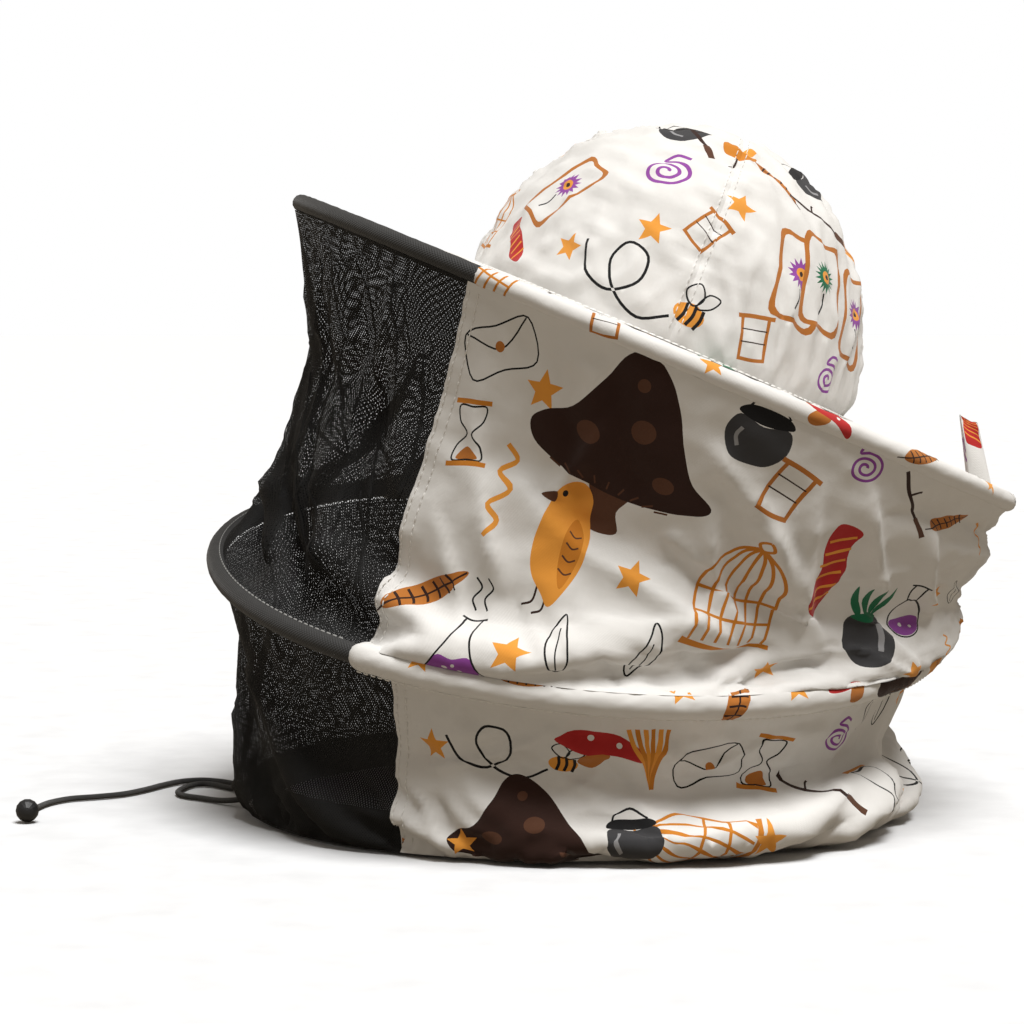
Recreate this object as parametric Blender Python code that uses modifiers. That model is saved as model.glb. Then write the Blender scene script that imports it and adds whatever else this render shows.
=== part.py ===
"""Beekeeping veil: a soft sun hat with a wired brim, a wall of cotton and netting
that hangs from the brim to a second wired hoop, and a gathered skirt with a drawstring hem.

Metres, +Z up. The face looks along -X, the wearer's left side is -Y. The veil stands on
its hem, and the origin lies on that surface under the middle of the whole veil.
"""

import math

import bpy
from mathutils import Matrix, Vector

# ---------------------------------------------------------------- driving dimensions
STEPS_AROUND = 60                 # facets of every full ring
BRIM_NET_ANGLE = 60.0             # the netting covers this much to each side of the face,
HOOP_NET_ANGLE = 54.0             # measured round each ring
HEM_NET_ANGLE = 60.0
GAP = 0.0003                      # between pieces that touch
MERGE_DISTANCE = 0.00001          # points closer than this are one

HEM_CENTRE = Vector((-0.0180, 0.0, 0.0))
HEM_RADIUS = 0.1515
HEM_WIDTH = 0.007
HEM_HEIGHT = 0.018
HEM_CHAMFER = 0.0015

HOOP_CENTRE = HEM_CENTRE + Vector((0.0029, 0.0, 0.1085))
HOOP_RADIUS = 0.1745
HOOP_FRONT_UP = 5.65              # degrees, lean of the lower hoop
HOOP_LEFT_DOWN = 11.4

BRIM_CENTRE = HEM_CENTRE + Vector((0.0388, 0.0, 0.2197))
BRIM_RADIUS = 0.1828
BRIM_FRONT_UP = 22.9

WIRE_RADIUS = 0.0015
SLEEVE_RADIUS = 0.0024
SLEEVE_SWEEP = 12.0
SLEEVE_SIDES = 8
SLEEVE_THICKNESS = 0.0005
BRIM_CASING_RADIUS = 0.0042
NET_CASING_RADIUS = 0.0044
CLOTH_CASING_RADIUS = 0.0054
CASING_THICKNESS = 0.0010

CLOTH_THICKNESS = 0.0010
NET_THICKNESS = 0.0008
WALL_CLEARANCE = 0.0011           # from a wall's edge to the casing that it is sewn to
WALL_SEAM_GAP = 0.0010            # the walls' edges are square to the fabric, so they need more
WALL_WAIST = 0.018                # how far the upper wall falls in between its hoops
SKIRT_KEPT = 0.40                 # the share of its height that is left when folded down
VEIL_KEPT = 0.38

CROWN_RADIUS = 0.0955
CROWN_HEIGHT = 0.103
CROWN_BASE = 0.0062               # above the plane of the brim wire
CROWN_STEPS = 10                  # facets of one gore, around and up
CROWN_APEX_RADIUS = 0.0008
BRIM_INNER_RADIUS = 0.0930
BRIM_RISE = 0.0045                # the brim climbs this much from its edge to the crown
BRIM_PLY_HEIGHT = 0.0010          # of the upper ply's edge above the brim wire
SWEATBAND_INSET = 0.0024
SWEATBAND_FOOT = 0.0008
SWEATBAND_HEIGHT = 0.030
SWEATBAND_THICKNESS = 0.0012

CORD_RADIUS = 0.0014
CORD_SPACING = 0.0065             # between the points of a drawstring tube
CORD_SAMPLES = 24                 # taken between two points of a cord's route
CORD_LIFT = 0.0001                # between the ground and a cord that lies on it
BALL_RADIUS = 0.0055
BALL_STEPS = 10                   # facets of the ball, from top to bottom
BALL_SIDES = 14
BALL_NECK = [(0.0026, 0.80), (0.0021, 0.98)]   # radius, share of the way to the cord's end

LOOP_BASE_RADIUS = 0.1700         # hanging loop, from the crown's axis
LOOP_BASE_HEIGHT = 0.0032         # and above the plane of the brim wire
LOOP_HEIGHT = 0.034
LOOP_WIDTH = 0.0110
LOOP_FOOT = 0.0008                # half the distance between the legs where they are sewn
LOOP_BULGE = 0.0042               # half the distance between the legs at the top
LOOP_LEAN = 10.0                  # degrees from upright, towards the crown
LOOP_THICKNESS = 0.0009

# The drawstring's route outside the hem, from the hem's centre. It lies on the ground
# one cord radius above it, apart from the stretches next to the hem.
TAIL_ROUTE = [
    (-0.1517, 0.0370, 0.0110), (-0.1575, 0.0430, 0.0062), (-0.1650, 0.0510, 0.0016),
    (-0.1750, 0.0600, 0.0016), (-0.1860, 0.0655, 0.0016), (-0.1970, 0.0610, 0.0016),
    (-0.2050, 0.0490, 0.0016), (-0.2120, 0.0350, 0.0016), (-0.2210, 0.0220, 0.0016),
    (-0.2330, 0.0140, 0.0016), (-0.2450, 0.0080, 0.0016), (-0.2530, -0.0030, 0.0016),
    (-0.2570, -0.0180, 0.0016), (-0.2580, -0.0330, 0.0026), (-0.2570, -0.0440, 0.0048),
]
LOOP_ROUTE = [
    (-0.1546, 0.0265, 0.0075), (-0.1610, 0.0310, 0.0050), (-0.1690, 0.0400, 0.0016),
    (-0.1770, 0.0490, 0.0016), (-0.1845, 0.0535, 0.0016), (-0.1905, 0.0490, 0.0016),
    (-0.1935, 0.0390, 0.0016), (-0.1945, 0.0270, 0.0016), (-0.1900, 0.0170, 0.0016),
    (-0.1810, 0.0100, 0.0016), (-0.1720, 0.0020, 0.0018), (-0.1640, -0.0060, 0.0032),
    (-0.1562, -0.0110, 0.0050),
]
BALL_CENTRE = Vector((-0.2562, -0.0502, 0.0057))

COTTON = ("white_cotton", (0.86, 0.85, 0.82), 0.85, 0.0)
NETTING = ("black_net", (0.03, 0.03, 0.03), 0.70, 0.0)
STEEL = ("hoop_steel", (0.55, 0.56, 0.58), 0.35, 1.0)
SLEEVE = ("sleeve_aluminium", (0.75, 0.76, 0.78), 0.40, 1.0)
WEBBING = ("sweatband_cotton", (0.80, 0.77, 0.70), 0.90, 0.0)
ELASTIC = ("black_elastic", (0.02, 0.02, 0.02), 0.65, 0.0)
MOULDED = ("black_ball", (0.02, 0.02, 0.02), 0.45, 0.0)


# ---------------------------------------------------------------- scene and frames
def clear_scene():
    for item in list(bpy.data.objects):
        bpy.data.objects.remove(item, do_unlink=True)


def make_collection(name):
    collection = bpy.data.collections.new(name)
    bpy.context.scene.collection.children.link(collection)
    return collection


def tilted_frame(centre, front_up, left_down=0.0):
    """A ring's own frame: its plane is XY, its centre the origin."""
    lean_x = Matrix.Rotation(math.radians(left_down), 4, "X")
    lean_y = Matrix.Rotation(math.radians(front_up), 4, "Y")
    return Matrix.Translation(centre) @ lean_x @ lean_y


HEM_FRAME = Matrix.Translation(HEM_CENTRE)
HOOP_FRAME = tilted_frame(HOOP_CENTRE, HOOP_FRONT_UP, HOOP_LEFT_DOWN)
HAT_FRAME = tilted_frame(BRIM_CENTRE, BRIM_FRONT_UP)


def make_material(spec):
    name, colour, roughness, metallic = spec
    material = bpy.data.materials.get(name)
    if material is None:
        material = bpy.data.materials.new(name)
        material.use_nodes = True
        shader = material.node_tree.nodes["Principled BSDF"]
        shader.inputs["Base Color"].default_value = (*colour, 1.0)
        shader.inputs["Roughness"].default_value = roughness
        shader.inputs["Metallic"].default_value = metallic
        material.diffuse_color = (*colour, 1.0)
    return material


def add_object(name, data, spec, matrix, parent=None):
    item = bpy.data.objects.new(name, data)
    VEIL.objects.link(item)
    item.data.materials.append(make_material(spec))
    if parent is not None:
        item.parent = parent
        item.matrix_parent_inverse = parent.matrix_world.inverted()
    item.matrix_world = matrix
    return item


def add_empty(name, matrix, parent=None):
    item = bpy.data.objects.new(name, None)
    VEIL.objects.link(item)
    item.empty_display_size = 0.02
    if parent is not None:
        item.parent = parent
        item.matrix_parent_inverse = parent.matrix_world.inverted()
    item.matrix_world = matrix
    bpy.context.view_layer.update()
    return item


# ---------------------------------------------------------------- building shapes
def solidify(item, thickness, offset):
    shell = item.modifiers.new("thickness", "SOLIDIFY")
    shell.thickness = thickness
    shell.offset = offset
    shell.use_even_offset = True


def turned_shell(name, spec, frame, profile, start, sweep, steps, thickness,
                 closed=False, offset=-1.0, parent=None):
    """A profile of (radius, height) points, turned about the frame's Z and given a thickness."""
    mesh = bpy.data.meshes.new(name)
    edges = [(i, i + 1) for i in range(len(profile) - 1)]
    if closed:
        edges.append((len(profile) - 1, 0))
    mesh.from_pydata([(r, 0.0, z) for r, z in profile], edges, [])
    matrix = frame @ Matrix.Rotation(math.radians(start), 4, "Z")
    item = add_object(name, mesh, spec, matrix, parent)
    screw = item.modifiers.new("turn", "SCREW")
    screw.angle = math.radians(sweep)
    screw.steps = steps
    screw.render_steps = steps
    screw.use_merge_vertices = sweep == 360.0
    screw.merge_threshold = MERGE_DISTANCE
    screw.use_smooth_shade = True
    solidify(item, thickness, offset)
    return item


def round_section(ring_radius, section_radius, sides=6):
    """A closed section round a ring's wire, down on its outer side, flat at top and bottom."""
    turns = [2.0 * math.pi * i / sides for i in range(sides)]
    return [(ring_radius + section_radius * math.cos(t), -section_radius * math.sin(t))
            for t in turns]


def arc_limits(radius, net_angle, front, gap=GAP):
    """Start angle and sweep of the netting's arc or the cotton's, less half a gap at each end."""
    trim = math.degrees(0.5 * gap / radius)
    start = 180.0 - net_angle if front else net_angle - 180.0
    sweep = 2.0 * net_angle if front else 360.0 - 2.0 * net_angle
    return start + trim, sweep - 2.0 * trim


def steps_in(sweep):
    return round(STEPS_AROUND * sweep / 360.0)


def casing(name, spec, frame, ring_radius, net_angle, section, front, parent):
    """The fabric tube round a ring, its netting part or its cotton part."""
    start, sweep = arc_limits(ring_radius, net_angle, front)
    return turned_shell(name, spec, frame, section, start, sweep, steps_in(sweep),
                        CASING_THICKNESS, closed=True, parent=parent)


def catmull_rom(route, spacing):
    """Evenly spaced points on a smooth curve through the route's points, none lower than
    a cord on the ground."""
    points = [Vector(p) for p in route]
    points = [2 * points[0] - points[1], *points, 2 * points[-1] - points[-2]]
    fine = []
    for i in range(1, len(points) - 2):
        a, b, c, d = points[i - 1:i + 3]
        for k in range(CORD_SAMPLES):
            t = k / CORD_SAMPLES
            fine.append(0.5 * (2 * b + (c - a) * t + (2 * a - 5 * b + 4 * c - d) * t ** 2
                               + (3 * b - a - 3 * c + d) * t ** 3))
    fine.append(points[-2])
    lengths = [0.0]
    for p, q in zip(fine, fine[1:]):
        lengths.append(lengths[-1] + (q - p).length)
    count = round(lengths[-1] / spacing)
    even = []
    k = 0
    for i in range(count + 1):
        target = lengths[-1] * i / count
        while k < len(fine) - 2 and lengths[k + 1] < target:
            k += 1
        share = (target - lengths[k]) / (lengths[k + 1] - lengths[k])
        point = fine[k].lerp(fine[k + 1], share)
        point.z = max(point.z, CORD_RADIUS + CORD_LIFT)
        even.append(point)
    return even


def wire(name, spec, matrix, points, radius, parent):
    """A round wire or cord along a polyline, with closed ends."""
    curve = bpy.data.curves.new(name, "CURVE")
    curve.dimensions = "3D"
    curve.bevel_depth = radius
    curve.bevel_resolution = 2
    curve.use_fill_caps = True
    spline = curve.splines.new("POLY")
    spline.points.add(len(points) - 1)
    for slot, p in zip(spline.points, points):
        slot.co = (*p, 1.0)
    return add_object(name, curve, spec, matrix, parent)


def ring_wire(name, spec, frame, ring_radius, height, radius, parent):
    """A hoop whose two ends meet at the back, GAP apart."""
    trim = 0.5 * GAP / ring_radius
    turns = [2.0 * math.pi * i / STEPS_AROUND for i in range(STEPS_AROUND + 1)]
    turns[0] += trim
    turns[-1] -= trim
    points = [(ring_radius * math.cos(t), ring_radius * math.sin(t), height) for t in turns]
    return wire(name, spec, frame, points, radius, parent)


def sleeve(name, frame, ring_radius, parent):
    """The short tube that joins a hoop's two ends, bent to the hoop."""
    section = round_section(ring_radius, SLEEVE_RADIUS, SLEEVE_SIDES)
    return turned_shell(name, SLEEVE, frame, section, -0.5 * SLEEVE_SWEEP, SLEEVE_SWEEP,
                        steps_in(SLEEVE_SWEEP), SLEEVE_THICKNESS, closed=True, parent=parent)


def rim_points(rim, front, steps):
    """Evenly spaced points along one edge of a wall."""
    frame, radius, net_angle, height = rim
    start, sweep = arc_limits(radius, net_angle, front, WALL_SEAM_GAP)
    turns = [math.radians(start + sweep * i / steps) for i in range(steps + 1)]
    return [frame @ Vector((radius * math.cos(turn), radius * math.sin(turn), height))
            for turn in turns]


def wall(name, spec, rims, waist, front, thickness, parent):
    """Fabric between two rings that lean differently, waist nearer the axis half way down.
    rims holds the upper and the lower ring's frame, radius, net angle and height."""
    steps = steps_in(arc_limits(HEM_RADIUS, HEM_NET_ANGLE, front)[1])
    upper = rim_points(rims[0], front, steps)
    lower = rim_points(rims[1], front, steps)
    middle = []
    for p, q in zip(upper, lower):
        point = p.lerp(q, 0.5)
        inward = HOOP_FRAME.translation - point
        inward.z = 0.0
        middle.append(point + waist * inward.normalized())
    vertices = upper + middle + lower
    width = steps + 1
    faces = [(r * width + i, (r + 1) * width + i, (r + 1) * width + i + 1, r * width + i + 1)
             for r in range(2) for i in range(steps)]
    mesh = bpy.data.meshes.new(name)
    mesh.from_pydata(vertices, [], faces)
    for face in mesh.polygons:
        face.use_smooth = True
    item = add_object(name, mesh, spec, Matrix.Identity(4), parent)
    solidify(item, thickness, 0.0)
    return item


# ---------------------------------------------------------------- how the veil folds
def fold_axis(lower, upper, kept):
    """The hinge on which the upper ring sinks towards the lower one until kept of its
    height is left, with both rings staying over each other. Gives a point, an axis and
    the angle in radians."""
    seen = lower.inverted() @ upper
    normal = (seen.to_3x3() @ Vector((0.0, 0.0, 1.0))).normalized()
    centre = seen.translation
    low_side = Vector((normal.x, normal.y, 0.0)).normalized()
    lean = math.acos(normal.z)
    angle = lean - math.asin(kept * math.sin(lean))
    reach = centre.z * (1.0 - kept) / (2.0 * math.tan(0.5 * angle))
    point = Vector((centre.x, centre.y, 0.0)) + reach * low_side
    point.z = 0.5 * centre.z * (1.0 + kept)
    axis = normal.cross(Vector((0.0, 0.0, 1.0))).normalized()
    return lower @ point, lower.to_3x3() @ axis, angle


def joint_empty(name, point, axis, parent):
    """An empty on a hinge's axis, its Z along that axis."""
    matrix = axis.to_track_quat("Z", "Y").to_matrix().to_4x4()
    matrix.translation = point
    return add_empty(name, matrix, parent)


# ---------------------------------------------------------------- the sub-assemblies
def hem_section():
    """A tall flat-bottomed channel, down on its outer side."""
    inner = HEM_RADIUS - 0.5 * HEM_WIDTH
    outer = HEM_RADIUS + 0.5 * HEM_WIDTH
    low, high = HEM_CHAMFER, HEM_HEIGHT - HEM_CHAMFER
    return [(outer - low, HEM_HEIGHT), (outer, high), (outer, low), (outer - low, 0.0),
            (inner + low, 0.0), (inner, low), (inner, high), (inner + low, HEM_HEIGHT)]


def build_skirt(parent):
    for name, spec, front in (("hem_casing_net", NETTING, True),
                              ("hem_casing_cotton", COTTON, False)):
        casing(name, spec, HEM_FRAME, HEM_RADIUS, HEM_NET_ANGLE, hem_section(), front, parent)
    ring_wire("drawstring_in_hem", ELASTIC, HEM_FRAME, HEM_RADIUS, 0.5 * HEM_HEIGHT,
              CORD_RADIUS, parent)
    tail = catmull_rom(TAIL_ROUTE, CORD_SPACING)
    loop = catmull_rom(LOOP_ROUTE, CORD_SPACING)
    wire("drawstring_tail", ELASTIC, HEM_FRAME, tail, CORD_RADIUS, parent)
    wire("drawstring_loop", ELASTIC, HEM_FRAME, loop, CORD_RADIUS, parent)
    build_ball(tail[-1], (tail[-1] - tail[-2]).normalized(), parent)
    for name, spec, front, thick, casing_radius in (
            ("skirt_net", NETTING, True, NET_THICKNESS, NET_CASING_RADIUS),
            ("skirt_cotton", COTTON, False, CLOTH_THICKNESS, CLOTH_CASING_RADIUS)):
        rims = ((HOOP_FRAME, HOOP_RADIUS, HOOP_NET_ANGLE, -(casing_radius + WALL_CLEARANCE)),
                (HEM_FRAME, HEM_RADIUS, HEM_NET_ANGLE, HEM_HEIGHT + WALL_CLEARANCE))
        wall(name, spec, rims, 0.0, front, thick, parent)


def build_ball(cord_end, heading, parent):
    """The moulded ball on the drawstring's end, with a short tapered neck round the cord."""
    neck_start = cord_end + GAP * heading
    axis = (HEM_CENTRE + BALL_CENTRE) - (HEM_CENTRE + neck_start)
    length = axis.length
    turns = [math.pi * i / (BALL_STEPS + 1) for i in range(1, BALL_STEPS)]
    side = [(BALL_RADIUS * math.sin(t), BALL_RADIUS * math.cos(t)) for t in turns]
    neck = [(radius, -share * length) for radius, share in BALL_NECK]
    outline = [(0.0, BALL_RADIUS), *side, *neck, (0.0, neck[-1][1])]
    mesh = bpy.data.meshes.new("drawstring_ball")
    mesh.from_pydata([(r, 0.0, z) for r, z in outline],
                     [(i, i + 1) for i in range(len(outline) - 1)], [])
    matrix = axis.to_track_quat("Z", "Y").to_matrix().to_4x4()
    matrix.translation = HEM_CENTRE + BALL_CENTRE
    item = add_object("drawstring_ball", mesh, MOULDED, matrix, parent)
    screw = item.modifiers.new("turn", "SCREW")
    screw.steps = BALL_SIDES
    screw.render_steps = BALL_SIDES
    screw.use_merge_vertices = True
    screw.merge_threshold = MERGE_DISTANCE
    screw.use_smooth_shade = True
    return item


def build_hoop(parent):
    ring_wire("lower_hoop", STEEL, HOOP_FRAME, HOOP_RADIUS, 0.0, WIRE_RADIUS, parent)
    sleeve("lower_hoop_sleeve", HOOP_FRAME, HOOP_RADIUS, parent)
    casing("hoop_casing_net", NETTING, HOOP_FRAME, HOOP_RADIUS, HOOP_NET_ANGLE,
           round_section(HOOP_RADIUS, NET_CASING_RADIUS), True, parent)
    casing("hoop_casing_cotton", COTTON, HOOP_FRAME, HOOP_RADIUS, HOOP_NET_ANGLE,
           round_section(HOOP_RADIUS, CLOTH_CASING_RADIUS), False, parent)
    for name, spec, front, thick, casing_radius in (
            ("veil_net", NETTING, True, NET_THICKNESS, NET_CASING_RADIUS),
            ("veil_cotton", COTTON, False, CLOTH_THICKNESS, CLOTH_CASING_RADIUS)):
        rims = ((HAT_FRAME, BRIM_RADIUS, BRIM_NET_ANGLE, -(BRIM_CASING_RADIUS + WALL_CLEARANCE)),
                (HOOP_FRAME, HOOP_RADIUS, HOOP_NET_ANGLE, casing_radius + WALL_CLEARANCE))
        wall(name, spec, rims, WALL_WAIST, front, thick, parent)


def crown_profile(inset, low, high, steps):
    """Points down the crown's side, inset from its outer face, between two heights."""
    wide, tall = CROWN_RADIUS - inset, CROWN_HEIGHT - inset
    top = min(math.asin(high / tall), math.acos(CROWN_APEX_RADIUS / wide))
    bottom = math.asin(low / tall)
    turns = [top + (bottom - top) * i / steps for i in range(steps + 1)]
    return [(wide * math.cos(t), CROWN_BASE + tall * math.sin(t)) for t in turns]


def build_crown(parent):
    """Four gores, moved apart by GAP so that their side seams are parallel."""
    names = ("crown_gore_back_right", "crown_gore_front_right",
             "crown_gore_front_left", "crown_gore_back_left")
    profile = crown_profile(0.0, 0.0, CROWN_HEIGHT, CROWN_STEPS)
    for i, name in enumerate(names):
        middle = math.radians(45.0 + 90.0 * i)
        shift = 0.5 * GAP * math.sqrt(2.0) * Vector((math.cos(middle), math.sin(middle), 0.0))
        turned_shell(name, COTTON, HAT_FRAME @ Matrix.Translation(shift), profile,
                     90.0 * i, 90.0, CROWN_STEPS, CLOTH_THICKNESS, parent=parent)
    band = crown_profile(SWEATBAND_INSET, SWEATBAND_FOOT, SWEATBAND_HEIGHT, 2)
    turned_shell("sweatband", WEBBING, HAT_FRAME, band, 0.0, 360.0, STEPS_AROUND,
                 SWEATBAND_THICKNESS, parent=parent)


def build_brim(parent):
    outer = BRIM_RADIUS - BRIM_CASING_RADIUS - GAP
    for name, drop in (("brim_upper_ply", 0.0), ("brim_lower_ply", CLOTH_THICKNESS + GAP)):
        edge = BRIM_PLY_HEIGHT - drop
        profile = [(BRIM_INNER_RADIUS, BRIM_RISE + edge), (outer, edge)]
        turned_shell(name, COTTON, HAT_FRAME, profile, 0.0, 360.0, STEPS_AROUND,
                     CLOTH_THICKNESS, parent=parent)
    ring_wire("brim_wire", STEEL, HAT_FRAME, BRIM_RADIUS, 0.0, WIRE_RADIUS, parent)
    sleeve("brim_wire_sleeve", HAT_FRAME, BRIM_RADIUS, parent)
    section = round_section(BRIM_RADIUS, BRIM_CASING_RADIUS)
    casing("brim_casing_net", NETTING, HAT_FRAME, BRIM_RADIUS, BRIM_NET_ANGLE, section,
           True, parent)
    casing("brim_casing_cotton", COTTON, HAT_FRAME, BRIM_RADIUS, BRIM_NET_ANGLE, section,
           False, parent)


def loop_outline(legs=6, crown=6):
    """One strip up a leg, over in a half circle and down again: (sideways, up) points."""
    straight = LOOP_HEIGHT - LOOP_BULGE
    left = []
    for i in range(legs):
        share = i / legs
        ease = share * share * (3.0 - 2.0 * share)
        left.append((-(LOOP_FOOT + (LOOP_BULGE - LOOP_FOOT) * ease), straight * share))
    turns = [math.pi * i / crown for i in range(crown + 1)]
    over = [(-LOOP_BULGE * math.cos(t), straight + LOOP_BULGE * math.sin(t)) for t in turns]
    return left + over + [(-side, up) for side, up in reversed(left)]


def build_hanging_loop(parent, base, along):
    """A folded strip whose width runs along the brim's slope, so its foot lies on the brim."""
    mesh = bpy.data.meshes.new("hanging_loop")
    outline = loop_outline()
    lean = math.radians(LOOP_LEAN)
    upward = Vector((-math.sin(lean), 0.0, math.cos(lean)))
    vertices = [x * along + Vector((0.0, side, 0.0)) + up * upward
                for side, up in outline for x in (-0.5 * LOOP_WIDTH, 0.5 * LOOP_WIDTH)]
    faces = [(2 * i, 2 * i + 1, 2 * i + 3, 2 * i + 2) for i in range(len(outline) - 1)]
    mesh.from_pydata(vertices, [], faces)
    item = add_object("hanging_loop", mesh, COTTON, Matrix.Translation(base), parent)
    solidify(item, LOOP_THICKNESS, 0.0)
    return item


clear_scene()
VEIL = make_collection("beekeeping_veil")

skirt = add_empty("skirt_body", HEM_FRAME)
build_skirt(skirt)

skirt_point, skirt_axis, skirt_angle = fold_axis(HEM_FRAME, HOOP_FRAME, SKIRT_KEPT)
hoop = joint_empty("hoop_body", skirt_point, skirt_axis, skirt)
build_hoop(hoop)

veil_point, veil_axis, veil_angle = fold_axis(HOOP_FRAME, HAT_FRAME, VEIL_KEPT)
hat = joint_empty("hat_body", veil_point, veil_axis, hoop)
build_crown(hat)
build_brim(hat)

loop_base = HAT_FRAME @ Vector((LOOP_BASE_RADIUS, 0.0, LOOP_BASE_HEIGHT))
loop_axis = (HAT_FRAME.to_3x3() @ Vector((1.0, 0.0, 0.0))).normalized()
loop = joint_empty("loop_body", loop_base, loop_axis, hat)
build_hanging_loop(loop, loop_base, loop_axis)
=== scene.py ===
"""The looks of the beekeeping veil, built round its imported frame: printed cotton, netting,
wired casings and seams, in metres in the frame's own axes (+Z up, the face looks along -X)."""

import math
import random

import bpy
import numpy as np
from mathutils import Matrix, Vector, geometry, kdtree


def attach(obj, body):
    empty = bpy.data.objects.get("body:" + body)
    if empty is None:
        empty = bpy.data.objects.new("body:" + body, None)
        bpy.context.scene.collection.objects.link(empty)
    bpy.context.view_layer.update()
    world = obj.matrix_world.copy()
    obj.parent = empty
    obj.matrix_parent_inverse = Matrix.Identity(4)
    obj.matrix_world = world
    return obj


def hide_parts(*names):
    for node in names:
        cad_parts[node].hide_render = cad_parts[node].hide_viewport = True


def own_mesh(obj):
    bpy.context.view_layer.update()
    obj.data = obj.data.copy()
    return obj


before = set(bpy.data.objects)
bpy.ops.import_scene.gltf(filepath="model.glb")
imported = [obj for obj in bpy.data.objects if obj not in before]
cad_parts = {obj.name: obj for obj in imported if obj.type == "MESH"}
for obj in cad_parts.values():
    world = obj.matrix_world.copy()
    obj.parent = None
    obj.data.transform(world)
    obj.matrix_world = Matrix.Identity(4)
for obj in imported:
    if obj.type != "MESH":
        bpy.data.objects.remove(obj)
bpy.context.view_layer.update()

# ---------------------------------------------------------------- measures, as in the frame
MM = 0.001
TAU = 2.0 * math.pi
HEM_CENTRE = Vector((-0.0180, 0.0, 0.0))
HEM_RADIUS, HEM_WIDTH, HEM_HEIGHT = 0.1515, 0.007, 0.018
HEM_DROP = 0.0016                 # the skirt's outer face comes down this near the ground
HOOP_RADIUS, BRIM_RADIUS = 0.1745, 0.1828
CROWN_RADIUS, CROWN_HEIGHT, CROWN_BASE = 0.0955, 0.103, 0.0062
CROWN_ARC = 0.1560                # along the crown from its top to the brim
BRIM_INNER, BRIM_RISE = 0.0930, 0.0045
BRIM_EDGE = BRIM_RADIUS - 0.0042  # where the brim's cloth goes into its casing
BRIM_PLY_GAP = 0.0017             # from the brim's upper cloth down to its lower one
NET_BRIM, NET_HOOP, NET_HEM = 60.0, 54.0, 60.0      # degrees from the face to the seams
CORD = 0.0014                     # the drawstring's radius
VEIL_TALL, SKIRT_TALL = 0.150, 0.096      # the walls' height when laid flat, on the near side
VEIL_SLACK = (1.07, 1.04, 1.08, 1.06)     # cut length over the gap: front, left, back, right
SKIRT_SLACK = (1.05, 1.05, 1.10, 1.06)
PRINT_GRID, NET_GRID, CASING_GRID = 0.0026, 0.0028, 0.0018    # spacing of the fine meshes
DRAG_ACROSS, DRAG_ALONG = (0.6, 0.8), (0.8, -0.6)   # the way the crown's long creases lie
DRAG_STRETCH = 0.28               # how much shorter a crease is across than along
CROWN_EASE = 0.0004               # how loosely the crown lies over its lining


def tilted_frame(centre, front_up, left_down=0.0):
    """A ring's own frame: its plane is XY, its centre the origin."""
    return (Matrix.Translation(centre) @ Matrix.Rotation(math.radians(left_down), 4, "X")
            @ Matrix.Rotation(math.radians(front_up), 4, "Y"))


HEM = Matrix.Translation(HEM_CENTRE)
HOOP = tilted_frame(HEM_CENTRE + Vector((0.0029, 0.0, 0.1085)), 5.65, 11.4)
HAT = tilted_frame(HEM_CENTRE + Vector((0.0388, 0.0, 0.2197)), 22.9)


# ---------------------------------------------------------------- camera
def make_camera():
    """A long lens low on the wearer's left, looking along +Y and slightly down."""
    data = bpy.data.cameras.new("camera")
    data.lens, data.sensor_width = 102.1, 36.0
    camera = bpy.data.objects.new("camera", data)
    bpy.context.scene.collection.objects.link(camera)
    camera.location = (HEM_CENTRE.x - 0.0289, -1.400, 0.2354)
    camera.rotation_euler = (math.radians(90.0 - 3.79), 0.0, 0.0)
    bpy.context.scene.camera = camera


make_camera()


# ---------------------------------------------------------------- materials
class Nodes:
    """A short way to wire a material's nodes."""

    def __init__(self, name):
        self.material = bpy.data.materials.new(name)
        self.material.use_nodes = True
        self.tree = self.material.node_tree
        self.shader = self.tree.nodes["Principled BSDF"]

    def add(self, kind, inputs=(), **settings):
        node = self.tree.nodes.new("ShaderNode" + kind)
        for key, value in settings.items():
            setattr(node, key, value)
        for key, value in dict(inputs).items():
            self.join(value, node.inputs[key])
        return node

    def join(self, value, socket):
        if hasattr(value, "links"):
            self.tree.links.new(value, socket)
        else:
            socket.default_value = value

    def maths(self, operation, a, b=0.0):
        return self.add("Math", {0: a, 1: b}, operation=operation).outputs[0]

    def grey(self, tone):
        return self.add("CombineColor", {"Red": tone, "Green": tone, "Blue": tone}
                        ).outputs["Color"]

    def tinted(self, colour, tone):
        """A colour made lighter or darker by tone, which is about 1."""
        return self.add("Mix", {"Factor": 1.0, 6: colour, 7: self.grey(tone)},
                        data_type="RGBA", blend_type="MULTIPLY").outputs[2]

    def sine(self, run, pitch):
        return self.maths("SINE", self.maths("MULTIPLY", run, TAU / pitch))

    def set(self, **inputs):
        """Sets or links the shader's own sockets, by name with _ for each space."""
        for key, value in inputs.items():
            self.join(value, self.shader.inputs[key.replace("_", " ")])

    def flat(self):
        """The cloth's own coordinates, in metres along and across its weave."""
        return self.add("UVMap", uv_map="flat").outputs["UV"]

    def noise(self, vector, scale, detail=3.0):
        return self.add("TexNoise", {"Vector": vector, "Scale": scale, "Detail": detail}
                        ).outputs["Fac"]

    def bump(self, height, distance, strength=1.0, under=None):
        inputs = {"Height": height, "Distance": distance, "Strength": strength}
        if under is not None:
            inputs["Normal"] = under
        return self.add("Bump", inputs).outputs["Normal"]

    def ramp(self, value, low, high):
        node = self.add("MapRange", {"Value": value, "To Min": low, "To Max": high})
        return node.outputs["Result"]

    def weave(self, vector, pitch):
        """Two sets of threads that pass over and under each other, 0 to 1."""
        along = self.add("SeparateXYZ", {"Vector": vector})
        warp, weft = (self.sine(along.outputs[axis], pitch) for axis in "XY")
        return self.maths("ADD", 0.5, self.maths("MULTIPLY", 0.5,
                                                 self.maths("MULTIPLY", warp, weft)))


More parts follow.
